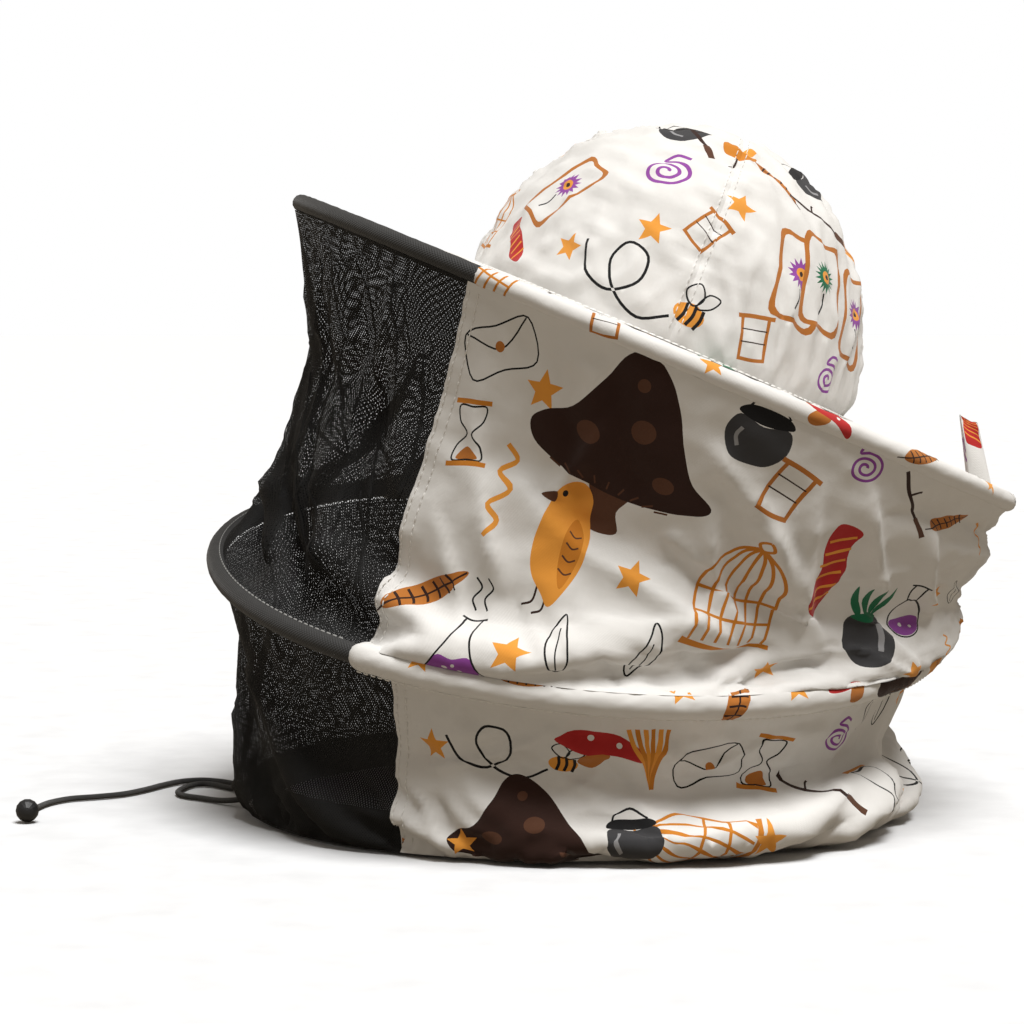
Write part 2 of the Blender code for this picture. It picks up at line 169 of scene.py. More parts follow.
def cotton(name, pitch=0.0007):
    """Plain-woven cotton. Its colour is the mesh's own ink, a little uneven."""
    n = Nodes(name)
    flat = n.flat()
    ink = n.add("Attribute", attribute_name="ink").outputs["Color"]
    weave = n.weave(flat, pitch)
    mottle = n.ramp(n.noise(flat, 60.0, 5.0), 0.93, 1.03)
    tone = n.maths("MULTIPLY", mottle, n.ramp(weave, 0.96, 1.02))
    creases = n.bump(n.noise(flat, 220.0, 4.0), 0.0004, 0.5)
    n.set(Base_Color=n.tinted(ink, tone), Roughness=n.ramp(weave, 0.78, 0.92),
          Normal=n.bump(weave, 0.00012, 0.6, creases), Sheen_Weight=0.15,
          Sheen_Roughness=0.5, Specular_IOR_Level=0.25)
    return n.material


def netting(name, pitch, thread, haze):
    """Diagonal netting: threads a share of the pitch wide, with holes between them that
    loose fibres cover by haze."""
    shade, slant = 0.006, 1.25
    n = Nodes(name)
    flat = n.flat()
    place = n.add("SeparateXYZ", {"Vector": flat})
    x, y = place.outputs["X"], place.outputs["Y"]
    covered, height = None, None
    for lean in (1.0, -1.0):
        run = n.maths("ADD", n.maths("MULTIPLY", x, slant * lean / pitch),
                      n.maths("DIVIDE", y, pitch))
        centred = n.maths("ABSOLUTE", n.maths("SUBTRACT", n.maths("FRACT", run), 0.5))
        here = n.maths("LESS_THAN", centred, 0.5 * thread)
        round_top = n.maths("SUBTRACT", 0.5, centred)
        covered = here if covered is None else n.maths("MAXIMUM", covered, here)
        height = round_top if height is None else n.maths("MAXIMUM", height, round_top)
    tone = n.ramp(n.noise(flat, 25.0), 0.7 * shade, 1.4 * shade)
    n.set(Base_Color=n.grey(tone), Alpha=n.ramp(covered, haze, 1.0),
          Normal=n.bump(height, 0.0003, 0.6), Roughness=0.75, Specular_IOR_Level=0.3)
    return n.material


def binding(name, pitch):
    """Closely woven black tape with ribs across it."""
    n = Nodes(name)
    flat = n.flat()
    ribs = n.weave(flat, pitch)
    n.set(Base_Color=n.grey(n.ramp(ribs, 0.004, 0.022)), Sheen_Weight=0.15,
          Roughness=n.ramp(n.noise(flat, 300.0), 0.6, 0.8), Normal=n.bump(ribs, 0.0003, 0.8))
    return n.material


def plain(name, colour, roughness, metallic=0.0, grain=400.0, depth=0.0001):
    """A one-colour material with fine uneven grain."""
    n = Nodes(name)
    uneven = n.noise(n.add("TexCoord").outputs["Object"], grain)
    n.set(Base_Color=n.tinted((*colour, 1.0), n.ramp(uneven, 0.85, 1.1)), Metallic=metallic,
          Roughness=n.ramp(uneven, roughness - 0.06, roughness + 0.08),
          Normal=n.bump(uneven, depth, 0.5))
    return n.material


def braid(name, colour, pitch):
    """Braided elastic: two sets of slanting strands round the cord."""
    n = Nodes(name)
    place = n.add("SeparateXYZ", {"Vector": n.flat()})
    x, y = place.outputs["X"], place.outputs["Y"]
    strands = n.maths("MULTIPLY", n.sine(n.maths("ADD", x, y), pitch),
                      n.sine(n.maths("SUBTRACT", x, y), pitch))
    tone = n.ramp(n.maths("ADD", 0.5, n.maths("MULTIPLY", 0.5, strands)),
                  0.5 * colour, 1.6 * colour)
    n.set(Base_Color=n.grey(tone), Normal=n.bump(strands, 0.0003, 0.8), Roughness=0.6,
          Sheen_Weight=0.2)
    return n.material


COTTON = cotton("printed_cotton")
NET = netting("black_netting", 0.0018, 0.52, 0.30)
NET_GATHERED = netting("black_netting_gathered", 0.0018, 0.56, 0.44)
NET_DOUBLE = netting("black_netting_folded", 0.0015, 0.60, 0.50)
ELASTIC = braid("braided_elastic", 0.018, 0.0011)
BALL = plain("satin_black_ball", (0.012, 0.012, 0.013), 0.42, grain=900.0, depth=0.00005)
STEEL = plain("spring_steel", (0.55, 0.56, 0.58), 0.32, metallic=1.0)
ALUMINIUM = plain("crimped_aluminium", (0.75, 0.76, 0.78), 0.38, metallic=1.0)
BINDING = binding("black_binding_tape", 0.0016)
WEBBING = cotton("sweatband_webbing", 0.0016)
THREAD_WHITE = plain("white_thread", (0.78, 0.77, 0.74), 0.7, grain=2500.0)
THREAD_GREY = plain("grey_thread", (0.30, 0.30, 0.29), 0.7, grain=2500.0)

CLOTH_WHITE = (0.73, 0.72, 0.70)
WEBBING_CREAM = (0.62, 0.57, 0.47)


# ---------------------------------------------------------------- meshes
def make_piece(name, vertices, faces, material, flat=None, inks=None):
    """A mesh piece, with its flat coordinates and the ink of each face."""
    mesh = bpy.data.meshes.new(name)
    mesh.from_pydata([tuple(v) for v in vertices], [], [tuple(f) for f in faces])
    mesh.polygons.foreach_set("use_smooth", [True] * len(mesh.polygons))
    loops = np.empty(len(mesh.loops), dtype=np.int32)
    mesh.loops.foreach_get("vertex_index", loops)
    if flat is not None:
        layer = mesh.uv_layers.new(name="flat")
        layer.data.foreach_set("uv", np.asarray(flat, dtype=np.float32)[loops].ravel())
    colour = mesh.color_attributes.new("ink", "FLOAT_COLOR", "CORNER")
    if inks is None:
        inks = np.tile(np.array(CLOTH_WHITE), (len(mesh.polygons), 1))
    inks = np.asarray(inks, dtype=np.float32)
    totals = np.empty(len(mesh.polygons), dtype=np.int32)
    mesh.polygons.foreach_get("loop_total", totals)
    corners = np.ones((len(loops), 4), dtype=np.float32)
    corners[:, :3] = np.repeat(inks, totals, axis=0)
    colour.data.foreach_set("color", corners.ravel())
    piece = bpy.data.objects.new(name, mesh)
    bpy.context.scene.collection.objects.link(piece)
    mesh.materials.append(material)
    return piece


def grid_faces(rows, columns, closed):
    """Quads between neighbouring points of a rows by columns grid, row by row."""
    wide = columns if closed else columns - 1
    return [(r * columns + c, (r + 1) * columns + c,
             (r + 1) * columns + (c + 1) % columns, r * columns + (c + 1) % columns)
            for r in range(rows - 1) for c in range(wide)]


def catmull(p0, p1, p2, p3, t):
    """The smooth curve from p1 to p2 that p0 and p3 steer, at the share t of the way."""
    return 0.5 * (2 * p1 + (p2 - p0) * t + (2 * p0 - 5 * p1 + 4 * p2 - p3) * t ** 2
                  + (3 * p1 - p0 - 3 * p2 + p3) * t ** 3)


class Surface:
    """A smooth surface through a grid of points whose columns close round a ring. Column 0
    is at the back, and they run towards the wearer's right."""

    def __init__(self, grid):
        self.grid = np.asarray(grid)

    def at(self, turn, down):
        """Points at the angles turn and the shares down of the way from top to bottom."""
        turn, down = np.broadcast_arrays(np.asarray(turn, float), np.asarray(down, float))
        rows, columns = self.grid.shape[:2]
        u = (turn / TAU) % 1.0 * columns
        v = np.clip(down, 0.0, 1.0) * (rows - 1)
        i, j = np.floor(u).astype(int), np.minimum(np.floor(v).astype(int), rows - 2)
        a, b = (u - i)[..., None], (v - j)[..., None]
        lines = []
        for dj in (-1, 0, 1, 2):
            row = np.clip(j + dj, 0, rows - 1)
            near = [self.grid[row, (i + di) % columns] for di in (-1, 0, 1, 2)]
            lines.append(catmull(*near, a))
        first = np.where((j == 0)[..., None], 2 * lines[1] - lines[2], lines[0])
        last = np.where((j >= rows - 2)[..., None], 2 * lines[2] - lines[1], lines[3])
        return catmull(first, lines[1], lines[2], last, b)

    def normal(self, turn, down):
        step = 0.004
        across = self.at(turn + step, down) - self.at(turn - step, down)
        along = self.at(turn, np.minimum(down + step, 1.0)) - self.at(
            turn, np.maximum(down - step, 0.0))
        n = np.cross(along, across)
        return n / np.maximum(np.linalg.norm(n, axis=-1, keepdims=True), 1e-12)


def ring_points(ring, radius, height, turns):
    """Points round a ring, in the frame's axes."""
    matrix = np.array(ring)
    local = np.stack([radius * np.cos(turns), radius * np.sin(turns),
                      height + 0.0 * turns, np.ones_like(turns)], axis=-1)
    return local @ matrix[:3].T


def placed(ring, points, directions=False):
    """Points or directions of a ring's own frame, in the frame's axes."""
    matrix = np.array(ring)
    turned = points @ matrix[:3, :3].T
    return turned if directions else turned + matrix[:3, 3]


def polar(radius, turns):
    return np.stack([radius * np.cos(turns), radius * np.sin(turns)], -1)


def facing_out(directions, points):
    """Directions of length 1, each turned to point away from the middle of the veil."""
    away = points - np.array(HEM_CENTRE)
    directions = directions * np.sign((directions[:, :2] * away[:, :2]).sum(axis=1))[:, None]
    return directions / np.linalg.norm(directions, axis=1, keepdims=True)


# ---------------------------------------------------------------- cords
TAIL_ROUTE = [
    (-0.1517, 0.0370, 0.0110), (-0.1575, 0.0430, 0.0062), (-0.1650, 0.0510, 0.0016),
    (-0.1750, 0.0600, 0.0016), (-0.1860, 0.0655, 0.0016), (-0.1970, 0.0610, 0.0016),
    (-0.2050, 0.0490, 0.0016), (-0.2120, 0.0350, 0.0016), (-0.2210, 0.0220, 0.0016),
    (-0.2330, 0.0140, 0.0016), (-0.2450, 0.0080, 0.0016), (-0.2530, -0.0030, 0.0016),
    (-0.2570, -0.0180, 0.0016), (-0.2580, -0.0330, 0.0026), (-0.2570, -0.0440, 0.0048),
]
LOOP_ROUTE = [
    (-0.1546, 0.0265, 0.0075), (-0.1610, 0.0310, 0.0050), (-0.1690, 0.0400, 0.0016),
    (-0.1770, 0.0490, 0.0016), (-0.1845, 0.0535, 0.0016), (-0.1905, 0.0490, 0.0016),
    (-0.1935, 0.0390, 0.0016), (-0.1945, 0.0270, 0.0016), (-0.1900, 0.0170, 0.0016),
    (-0.1810, 0.0100, 0.0016), (-0.1720, 0.0020, 0.0018), (-0.1640, -0.0060, 0.0032),
    (-0.1562, -0.0110, 0.0050),
]


def smooth_route(route, per_stretch):
    """Points on a smooth curve through the route's points, none lower than on the ground."""
    p = np.array(route) + np.array(HEM_CENTRE)
    p = np.vstack([2 * p[0] - p[1], p, 2 * p[-1] - p[-2]])
    points = [catmull(*p[i - 1:i + 3], k / per_stretch)
              for i in range(1, len(p) - 2) for k in range(per_stretch)] + [p[-2]]
    points = np.array(points)
    points[:, 2] = np.maximum(points[:, 2], CORD + 0.0001)
    return points


def run_along(points):
    """How far along a line each of its points is."""
    return np.append(0.0, np.cumsum(np.linalg.norm(np.diff(points, axis=0), axis=1)))


def tube(name, points, radius, sides, material):
    """A round tube along points, its ends closed, with flat coordinates for its braid."""
    heading = np.gradient(points, axis=0)
    heading /= np.linalg.norm(heading, axis=1, keepdims=True)
    side = np.cross(heading, (0.0, 0.0, 1.0))
    side /= np.linalg.norm(side, axis=1, keepdims=True)
    up = np.cross(side, heading)
    vertices, flat = [], []
    for p, s, u, x in zip(points, side, up, run_along(points)):
        for k in range(sides):
            angle = TAU * k / sides
            vertices.append(p + radius * (math.cos(angle) * s + math.sin(angle) * u))
            flat.append((x, radius * angle))
    faces = [tuple(reversed(f)) for f in grid_faces(len(points), sides, True)]
    faces.append(tuple(range(sides)))
    faces.append(tuple(reversed(range(len(vertices) - sides, len(vertices)))))
    return make_piece(name, vertices, faces, material, flat)


def worn(piece, body, slot, *nodes):
    """Puts a piece on its body and hides the solids that it stands for; slot is not used."""
    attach(piece, body)
    if nodes:
        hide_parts(*nodes)
    return piece


def make_cords():
    """The drawstring's loose end and its loop, both lying on the ground before the hem."""
    for node, stops, far_end, company in (
            ("drawstring_tail", TAIL_ROUTE, "fitting", ["drawstring_ball"]),
            ("drawstring_loop", LOOP_ROUTE, "object", [])):
        route = smooth_route(stops, 8)
        cord = worn(tube(node + "_cord", route, CORD, 12, ELASTIC), "skirt", "black_elastic",
                    node)
        tuple(route[0])
        [tuple(p) for p in route]


make_cords()


# ---------------------------------------------------------------- draped cloth
ROWS, COLUMNS = 40, 240
TURNS = np.arange(COLUMNS) / COLUMNS * TAU
DOWN = np.linspace(0.0, 1.0, ROWS)[:, None]
OUTWARD = np.stack([np.cos(TURNS), np.sin(TURNS), 0.0 * TURNS], axis=-1)


def around(front, left, back, right, turns):
    """A value that runs smoothly round the ring through those at its four quarters."""
    even = (front + left + back + right) / 4.0
    along, across = (back - front) / 2.0, (right - left) / 2.0
    twist = (front + back - left - right) / 4.0
    return even + along * np.cos(turns) + across * np.sin(turns) + twist * np.cos(2 * turns)


def pull(p, a, b, rest, weight, share):
    """Moves two sets of points towards being rest apart, the sewn ones not at all."""
    gap = p[b] - p[a]
    far = np.sqrt((gap * gap).sum(axis=-1))
    wa, wb = weight[a], weight[b]
    move = (share * (far - rest) / (far * np.maximum(wa + wb, 1e-9)))[..., None] * gap
    p[a] += move * wa[..., None]
    p[b] -= move * wb[..., None]


def threads(wide, tall):
    """Pairs of points that the cloth's threads hold apart: (a, b, rest length, stiffness),
    in sets where no point comes twice."""
    index = np.arange(ROWS * COLUMNS).reshape(ROWS, COLUMNS)
    pairs = []

    def add(down, along, rest, stiffness):
        a = index[:ROWS - down]
        b = np.roll(index, -along, axis=1)[down:]
        rest = rest[:ROWS - down]
        half = max(down, abs(along))
        for k in range(2):
            if along:
                pick = (slice(None), (np.arange(COLUMNS) % (2 * half)) // half == k)
            else:
                pick = (np.arange(ROWS - down) % (2 * half)) // half == k
            pairs.append((a[pick].ravel(), b[pick].ravel(), rest[pick].ravel(), stiffness))

    add(0, 1, wide, 1.0)
    add(1, 0, tall, 1.0)
    for lean in (1, -1):
        add(1, lean, np.hypot(wide, tall), 0.45)
    for reach, stiffness in ((2, 0.10), (4, 0.02)):
        add(0, reach, float(reach) * wide, stiffness)
        add(reach, 0, float(reach) * tall, stiffness)
    return pairs


def drape(top, bottom, lengths, fullness, start, steps, gravity):
    """Cloth sewn to two rings of points, as it sags between them. lengths are how long it is
    cut at each column, fullness how much wider it is cut than the rings at each row, start
    how far outside the straight line each point starts, and gravity a share of the real one."""
    straight = top[None] * (1.0 - DOWN[..., None]) + bottom[None] * DOWN[..., None]
    wide = np.linalg.norm(np.roll(straight, -1, axis=1) - straight, axis=-1) * fullness
    tall = np.broadcast_to(lengths / (ROWS - 1), (ROWS, COLUMNS))
    pairs = threads(wide, tall)
    p = (straight + OUTWARD * start[..., None]).reshape(-1, 3)
    weight = np.ones((ROWS, COLUMNS))
    weight[0] = weight[-1] = 0.0
    weight = weight.ravel()
    sewn = weight == 0.0
    fixed = p[sewn].copy()
    before = p.copy()
    fall = np.array((0.0, 0.0, -9.81)) / 60.0 ** 2 * gravity
    furthest = 0.004
    for _ in range(steps):
        moved = 0.94 * (p - before)
        before = p.copy()
        p = p + np.clip(moved, -furthest, furthest) + fall * weight[:, None]
        for _ in range(5):
            for a, b, rest, share in pairs:
                pull(p, a, b, rest, weight, share)
            p[sewn] = fixed
        keep_off(p, 0.0061, weight)
    return Surface(p.reshape(ROWS, COLUMNS, 3))


def keep_off(p, thick, weight):
    """Pushes points out of the lower hoop's round casing."""
    local = placed(HOOP.inverted(), p)
    flat = np.linalg.norm(local[:, :2], axis=1)
    out, up = flat - HOOP_RADIUS, local[:, 2]
    far = np.hypot(out, up)
    push = np.where((far < thick) & (weight > 0.0), thick / np.maximum(far, 1e-6), 1.0)
    local[:, :2] *= ((HOOP_RADIUS + out * push) / flat)[:, None]
    local[:, 2] *= push
    p[:] = placed(HOOP, local)


def rough(seed, size, low, high, rises):
    """Seeded smooth unevenness over the cloth, to start its folds."""
    rng = np.random.default_rng(seed)
    total = np.zeros((ROWS, COLUMNS))
    for _ in range(30):
        waves, lean = rng.integers(low, high), rng.uniform(-6.0, 6.0)
        total += rng.uniform(0.4, 1.0) * np.sin(waves * TURNS + rng.uniform(0.0, TAU)
                                                + lean * DOWN) * np.sin(
            rng.uniform(*rises) * math.pi * DOWN + rng.uniform(0.0, TAU)) / math.sqrt(waves)
    return size * total * np.sin(math.pi * DOWN)


def hump(turns, middle, reach):
    """1 at middle degrees round the ring, falling smoothly to 0 reach degrees away."""
    away = np.abs((np.degrees(turns) - middle + 180.0) % 360.0 - 180.0)
    return np.where(away < reach, 0.5 + 0.5 * np.cos(math.pi * away / reach), 0.0)


# How far the cloth hangs outside (+) or inside (-) the straight line between its two
# rings: share of the way down and millimetres, at a few places round the ring.
VEIL_NEAR = [(0, 0), (0.10, -6), (0.44, -23.5), (0.50, -25), (0.55, -22), (0.78, -11),
             (0.92, -4.5), (1, 0)]
VEIL_REAR = [(0, 0), (0.10, -13), (0.24, -5), (0.42, -13), (0.56, -15), (0.84, -2), (1, 0)]
VEIL_FACE = [(0, 0), (0.18, -9), (0.36, -18), (0.60, -11), (0.80, -5), (1, 0)]
SKIRT_NEAR = [(0, 0), (0.08, -6), (0.40, -11), (0.64, -4), (0.76, 0.5), (1, 0)]
SKIRT_ROLL = [(0, 0), (0.05, -6), (0.14, -12), (0.46, -18), (0.56, -12), (0.64, 2), (0.74, 11),
              (0.84, 12), (0.94, 5), (1, 0)]
SKIRT_REAR = [(0, 0), (0.08, -6), (0.30, -11), (0.52, -17), (0.68, -9), (0.77, 0), (0.88, 2),
              (1, 0)]
SKIRT_FACE = [(0, 0), (0.25, -7), (0.60, -3), (1, 0)]


def profile(points, down):
    """A hang profile's offsets, in metres, at shares of the way down."""
    shares, offsets = zip(*points)
    return MM * np.interp(down, shares, offsets)


def hung(surface, offsets):
    """Moves the cloth out by offsets, and gives how long it is at each column."""
    surface.grid += OUTWARD * offsets[..., None]
    points = surface.grid.reshape(-1, 3)
    free = np.ones((ROWS, COLUMNS))
    free[0] = free[-1] = 0.0
    keep_off(points, 0.0071, free.ravel())
    surface.grid = points.reshape(ROWS, COLUMNS, 3)
    return np.linalg.norm(np.diff(surface.grid, axis=0), axis=-1).sum(axis=0)


def make_walls():
    """The veil above the lower hoop and the skirt below it, as rings of draped cloth, and
    how long each is at every column."""
    face, behind = hump(TURNS, 180.0, 66.0), hump(TURNS, 0.0, 72.0)
    beside = (1.0 - face) * (1.0 - behind)
    netted = np.clip((60.0 - np.abs(np.degrees(TURNS) - 180.0)) / 5.0, 0.0, 1.0)
    brim = ring_points(HAT, BRIM_RADIUS + 0.0016, -0.0040, TURNS)
    above = ring_points(HOOP, HOOP_RADIUS + 0.0040 - 0.0070 * netted, 0.0054 - 0.0018 * netted,
                        TURNS)
    below = ring_points(HOOP, HOOP_RADIUS - 0.0030, -0.0048, TURNS)
    hem = ring_points(HEM, HEM_RADIUS + 0.0048, HEM_DROP, TURNS)
    tall = np.linalg.norm(brim - above, axis=1) * around(*VEIL_SLACK, TURNS)
    short = np.linalg.norm(below - hem, axis=1) * around(*SKIRT_SLACK, TURNS)
    veil = drape(brim, above, tall, 1.015, rough(11, 0.0060, 3, 22, (1.0, 4.5)), 55, 0.02)
    skirt = drape(below, hem, short, 1.02 + 0.04 * DOWN, rough(5, 0.0050, 4, 30, (1.0, 3.5)), 45,
                  0.006)

    # The near side's waist sinks towards the back, the pleats wander, and the seams between
    # netting and cotton hold the veil straighter.
    waist = 0.39 + 0.25 * np.clip((np.degrees(TURNS) - 240.0) / 61.0, 0.0, 1.0)
    warped = DOWN ** (math.log(0.5) / np.log(waist))
    shifted = np.clip(DOWN + 0.05 * np.sin(2.7 * TURNS + 0.6) * np.sin(math.pi * DOWN), 0.0, 1.0)
    held = 1.0 - 0.6 * np.maximum(hump(TURNS, 236.0, 20.0), hump(TURNS, 124.0, 20.0))
    veil_cut = hung(veil, held * (
        beside * profile(VEIL_NEAR, warped) + face * (1.0 - behind) * profile(VEIL_FACE, DOWN))
                    + behind * profile(VEIL_REAR, shifted) * (1.0 + 0.25 * np.sin(5.0 * TURNS)))
    roll = hump(TURNS, 312.0, 64.0)
    skirt_cut = hung(skirt, (1.0 - roll) * (beside * profile(SKIRT_NEAR, DOWN)
                                            + behind * profile(SKIRT_REAR, shifted)
                                            + face * profile(SKIRT_FACE, DOWN))
                     + roll * profile(SKIRT_ROLL, DOWN))
    lowest = 0.0008
    skirt.grid[..., 2] = np.maximum(skirt.grid[..., 2], lowest)
    return veil, skirt, veil_cut, skirt_cut


def folds(x, y, lines):
    """Folds drawn on flat cloth: each runs from one point to another with a bend between,
    so many metres deep and wide, sharper on one side than on the other."""
    total = np.zeros_like(x)
    for x0, y0, x1, y1, bend, depth, wide in lines:
        dx, dy = x1 - x0, y1 - y0
        length = math.hypot(dx, dy)
        along = ((x - x0) * dx + (y - y0) * dy) / length ** 2
        off = ((y - y0) * dx - (x - x0) * dy) / length - bend * 4.0 * along * (1.0 - along)
        taper = np.clip(np.minimum(along + 0.12, 1.12 - along) / 0.35, 0.0, 1.0)
        ridge = np.where(off > 0.0, np.exp(-(off / wide) ** 2),
                         np.exp(-np.abs(off / (0.45 * wide)) ** 1.5))
        total += depth * ridge * taper * taper * (3.0 - 2.0 * taper)
    return total


def random_folds(seed, count, x_range, y_range, lean, depth):
    """Folds of the kind that hanging cloth has, spread over a part of it."""
    rng = random.Random(seed)
    lines = []
    for _ in range(count):
        x, y = rng.uniform(*x_range), rng.uniform(*y_range)
        angle, length = math.radians(rng.gauss(*lean)), rng.uniform(0.025, 0.075)
        dx, dy = 0.5 * length * math.cos(angle), 0.5 * length * math.sin(angle)
        lines.append((x - dx, y - dy, x + dx, y + dy, rng.uniform(-0.006, 0.006),
                      rng.choice((-1, 1, 1)) * rng.uniform(0.4, 1.0) * depth,
                      rng.uniform(0.0025, 0.0065)))
    return lines


def crumple(x, y, size, seed, short=0.014, long=0.060):
    """Small sharp creases, size metres deep, at points x, y of the flat cloth."""
    rng = np.random.default_rng(seed)
    total = np.zeros_like(x)
    for _ in range(4):
        wave = np.zeros_like(x)
        for _ in range(7):
            length, angle = rng.uniform(short, long), rng.uniform(0.0, TAU)
            wave += np.sin(TAU / length * (x * math.cos(angle) + y * math.sin(angle))
                           + rng.uniform(0.0, TAU))
        total += 1.0 - np.abs(wave) / 1.6
    return size * total / 4.0


# ---------------------------------------------------------------- printed motifs
def ink(red, green, blue):
    """A printed colour, from how bright it looks in each of the three, 0 to 255."""
    return tuple((c / 255.0) ** 2.2 for c in (red, green, blue))


ORANGE, AMBER, TAN = ink(224, 149, 60), ink(196, 122, 40), ink(176, 108, 46)
BROWN, UMBER, BLACK = ink(48, 27, 19), ink(84, 54, 38), ink(22, 22, 24)
RED, PURPLE, GREEN = ink(176, 42, 42), ink(138, 70, 152), ink(29, 107, 74)
CHARCOAL, GREY, PAPER = ink(58, 58, 60), ink(140, 140, 142), CLOTH_WHITE


def smooth_line(points, closed=False, per=5):
    """A smooth line through points."""
    p = np.array(points, dtype=float)
    p = np.vstack([p[-1], p, p[:2]]) if closed else np.vstack([2 * p[0] - p[1], p,
                                                              2 * p[-1] - p[-2]])
    line = [catmull(*p[i - 1:i + 3], k / per) for i in range(1, len(p) - 2)
            for k in range(per)]
    return np.array(line if closed else line + [p[-2]])


def patch(points):
    return smooth_line(points, closed=True)


def circle(x, y, radius, wide=1.0):
    turns = np.linspace(0.0, TAU, 20, endpoint=False)
    return np.stack([x + wide * radius * np.cos(turns), y + radius * np.sin(turns)], -1)


def inked(colour, *shapes):
    return [(colour, shape) for shape in shapes]


def stroke(points, width, smooth=True):
    """A drawn line's outline: its two sides, width apart."""
    p = smooth_line(points) if smooth else np.array(points, dtype=float)
    heading = np.gradient(p, axis=0)
    heading /= np.maximum(np.linalg.norm(heading, axis=1, keepdims=True), 1e-9)
    side = np.stack([-heading[:, 1], heading[:, 0]], -1) * width / 2.0
    return np.vstack([p + side, (p - side)[::-1]])


def loop_line(points, width):
    """A closed drawn line, as two halves that meet."""
    p = patch(points)
    half = len(p) // 2
    return [stroke(p[:half + 1], width, False),
            stroke(np.vstack([p[half:], p[:1]]), width, False)]


def star():
    turns = np.arange(10) * TAU / 10 + TAU / 4
    points = polar(np.where(np.arange(10) % 2 == 0, 8.6, 3.9), turns)
    ends = np.roll(points, -1, axis=0)
    return inked(ORANGE, np.vstack([a + (b - a) * k / 4.0 for a, b in zip(points, ends)
                                    for k in range(4)]))


def toadstool():
    cap = patch([(-47, -9), (-40, -17), (-20, -22), (4, -23), (28, -20), (45, -15), (49, -9),
                 (36, -3), (25, 10), (15, 25), (4, 36), (-8, 41), (-16, 36), (-21, 22),
                 (-30, 5), (-42, -2)])
    stem = patch([(-9, -19), (-6, -30), (-10, -38), (2, -41), (13, -38), (9, -29), (12, -19)])
    spots = [circle(-19, -2, 4.5, 1.4), circle(5, 9, 5.0, 1.2), circle(24, -9, 3.6, 1.5),
             circle(-4, 27, 3.0)]
    gills = [stroke([(x, -18 - 0.002 * x * x), (0.8 * x, -21.5)], 0.9)
             for x in range(-32, 37, 8)]
    return inked(UMBER, stem) + inked(BROWN, cap) + inked(UMBER, *spots, *gills)


def songbird():
    body = patch([(-4, 24), (3, 25), (9, 20), (10, 12), (13, 2), (12, -10), (8, -20), (3, -27),
                  (-2, -22), (-9, -14), (-12, -2), (-11, 10), (-9, 19)])
    wing = patch([(4, 10), (10, 3), (10, -8), (6, -19), (2, -10), (1, 2)])
    beak = patch([(-9, 19), (-16, 16), (-9, 14)])
    legs = [stroke([(-4, -19), (-5, -26), (-9, -28)], 1.0),
            stroke([(1, -24), (0, -29), (-4, -31)], 1.0)]
    barbs = [stroke([(2.5, y), (6, y - 2), (9, y - 1)], 0.7) for y in (4, -1, -6, -11)]
    return (inked(BROWN, *legs) + inked(ORANGE, body) + inked(AMBER, wing)
            + inked(UMBER, beak) + inked(BLACK, circle(-5, 19, 1.3)) + inked(UMBER, *barbs))


def cage():
    bars = [stroke([(x, -24), (1.02 * x, 2), (0.92 * x, 14), (0.55 * x, 23), (0.1 * x, 28)],
                   1.5) for x in (-20, -13, -6.5, 0.3, 6.5, 13, 20)]
    rings = [stroke([(-21, y), (0, y - 2.5), (21, y)], 1.5) for y in (2, -10)]
    base = stroke([(-24, -25), (0, -28), (24, -25)], 3.0)
    top = loop_line([(0, 28), (3, 31), (0, 34), (-3, 31)], 1.4)
    return inked(AMBER, *bars, *rings, base, *top)


def squiggle():
    return inked(ORANGE, stroke([(-2, 17), (3, 12), (-3, 7), (3, 1), (-3, -5), (2, -10),
                                 (-1, -16)], 1.9))


def feather():
    blade = patch([(-20, -7), (-14, -9), (-4, -7), (8, -1), (19, 8), (8, 8), (-6, 4), (-16, -1)])
    bars = [stroke([(x - 3, 0.4 * x + 3.6), (x + 1, 0.4 * x - 0.6), (x + 2.5, 0.4 * x - 3.4)],
                   1.1) for x in (-13, -8, -3, 2, 7, 11)]
    quill = stroke([(-25, -9), (-12, -5), (4, 2), (18, 8)], 0.9)
    return inked(TAN, blade) + inked(BROWN, *bars, quill)


def flask():
    juice = patch([(-13, -14), (0, -16), (13, -14), (8, -3), (0, -4), (-8, -3)])
    sides = [stroke([(-4, 18), (-4, 8), (-8, -2), (-15, -15), (-8, -18), (0, -18)], 0.9),
             stroke([(4, 18), (4, 8), (8, -2), (15, -15), (8, -18), (0, -18)], 0.9),
             stroke([(-6, 19), (0, 18), (6, 19)], 1.2)]
    steam = [stroke([(x, 23), (x - 2.5, 28), (x + 1.5, 33), (x - 1, 38)], 0.9)
             for x in (-2, 4)]
    bubbles = [circle(-3, -9, 1.5), circle(4, -11, 1.1), circle(1, -7, 0.9)]
    return inked(PURPLE, juice) + inked(PAPER, *bubbles) + inked(BLACK, *sides, *steam)


def round_flask():
    juice = patch([(-11, -6), (-8, -14), (0, -17), (8, -14), (11, -6), (5, -3), (-5, -4)])
    glass = loop_line([(-3, 9), (-9, 3), (-12, -6), (-8, -15), (0, -18), (8, -15), (12, -6),
                       (9, 3), (3, 9), (0, 9)], 1.0)
    neck = [stroke([(-3, 9), (-3, 20)], 0.9), stroke([(3, 9), (3, 20)], 0.9),
            stroke([(-5, 20), (0, 21), (5, 20)], 1.3)]
    bubbles = [circle(-3, -9, 1.5), circle(4, -11, 1.1)]
    return inked(PURPLE, juice) + inked(PAPER, *bubbles) + inked(BLACK, *glass, *neck)


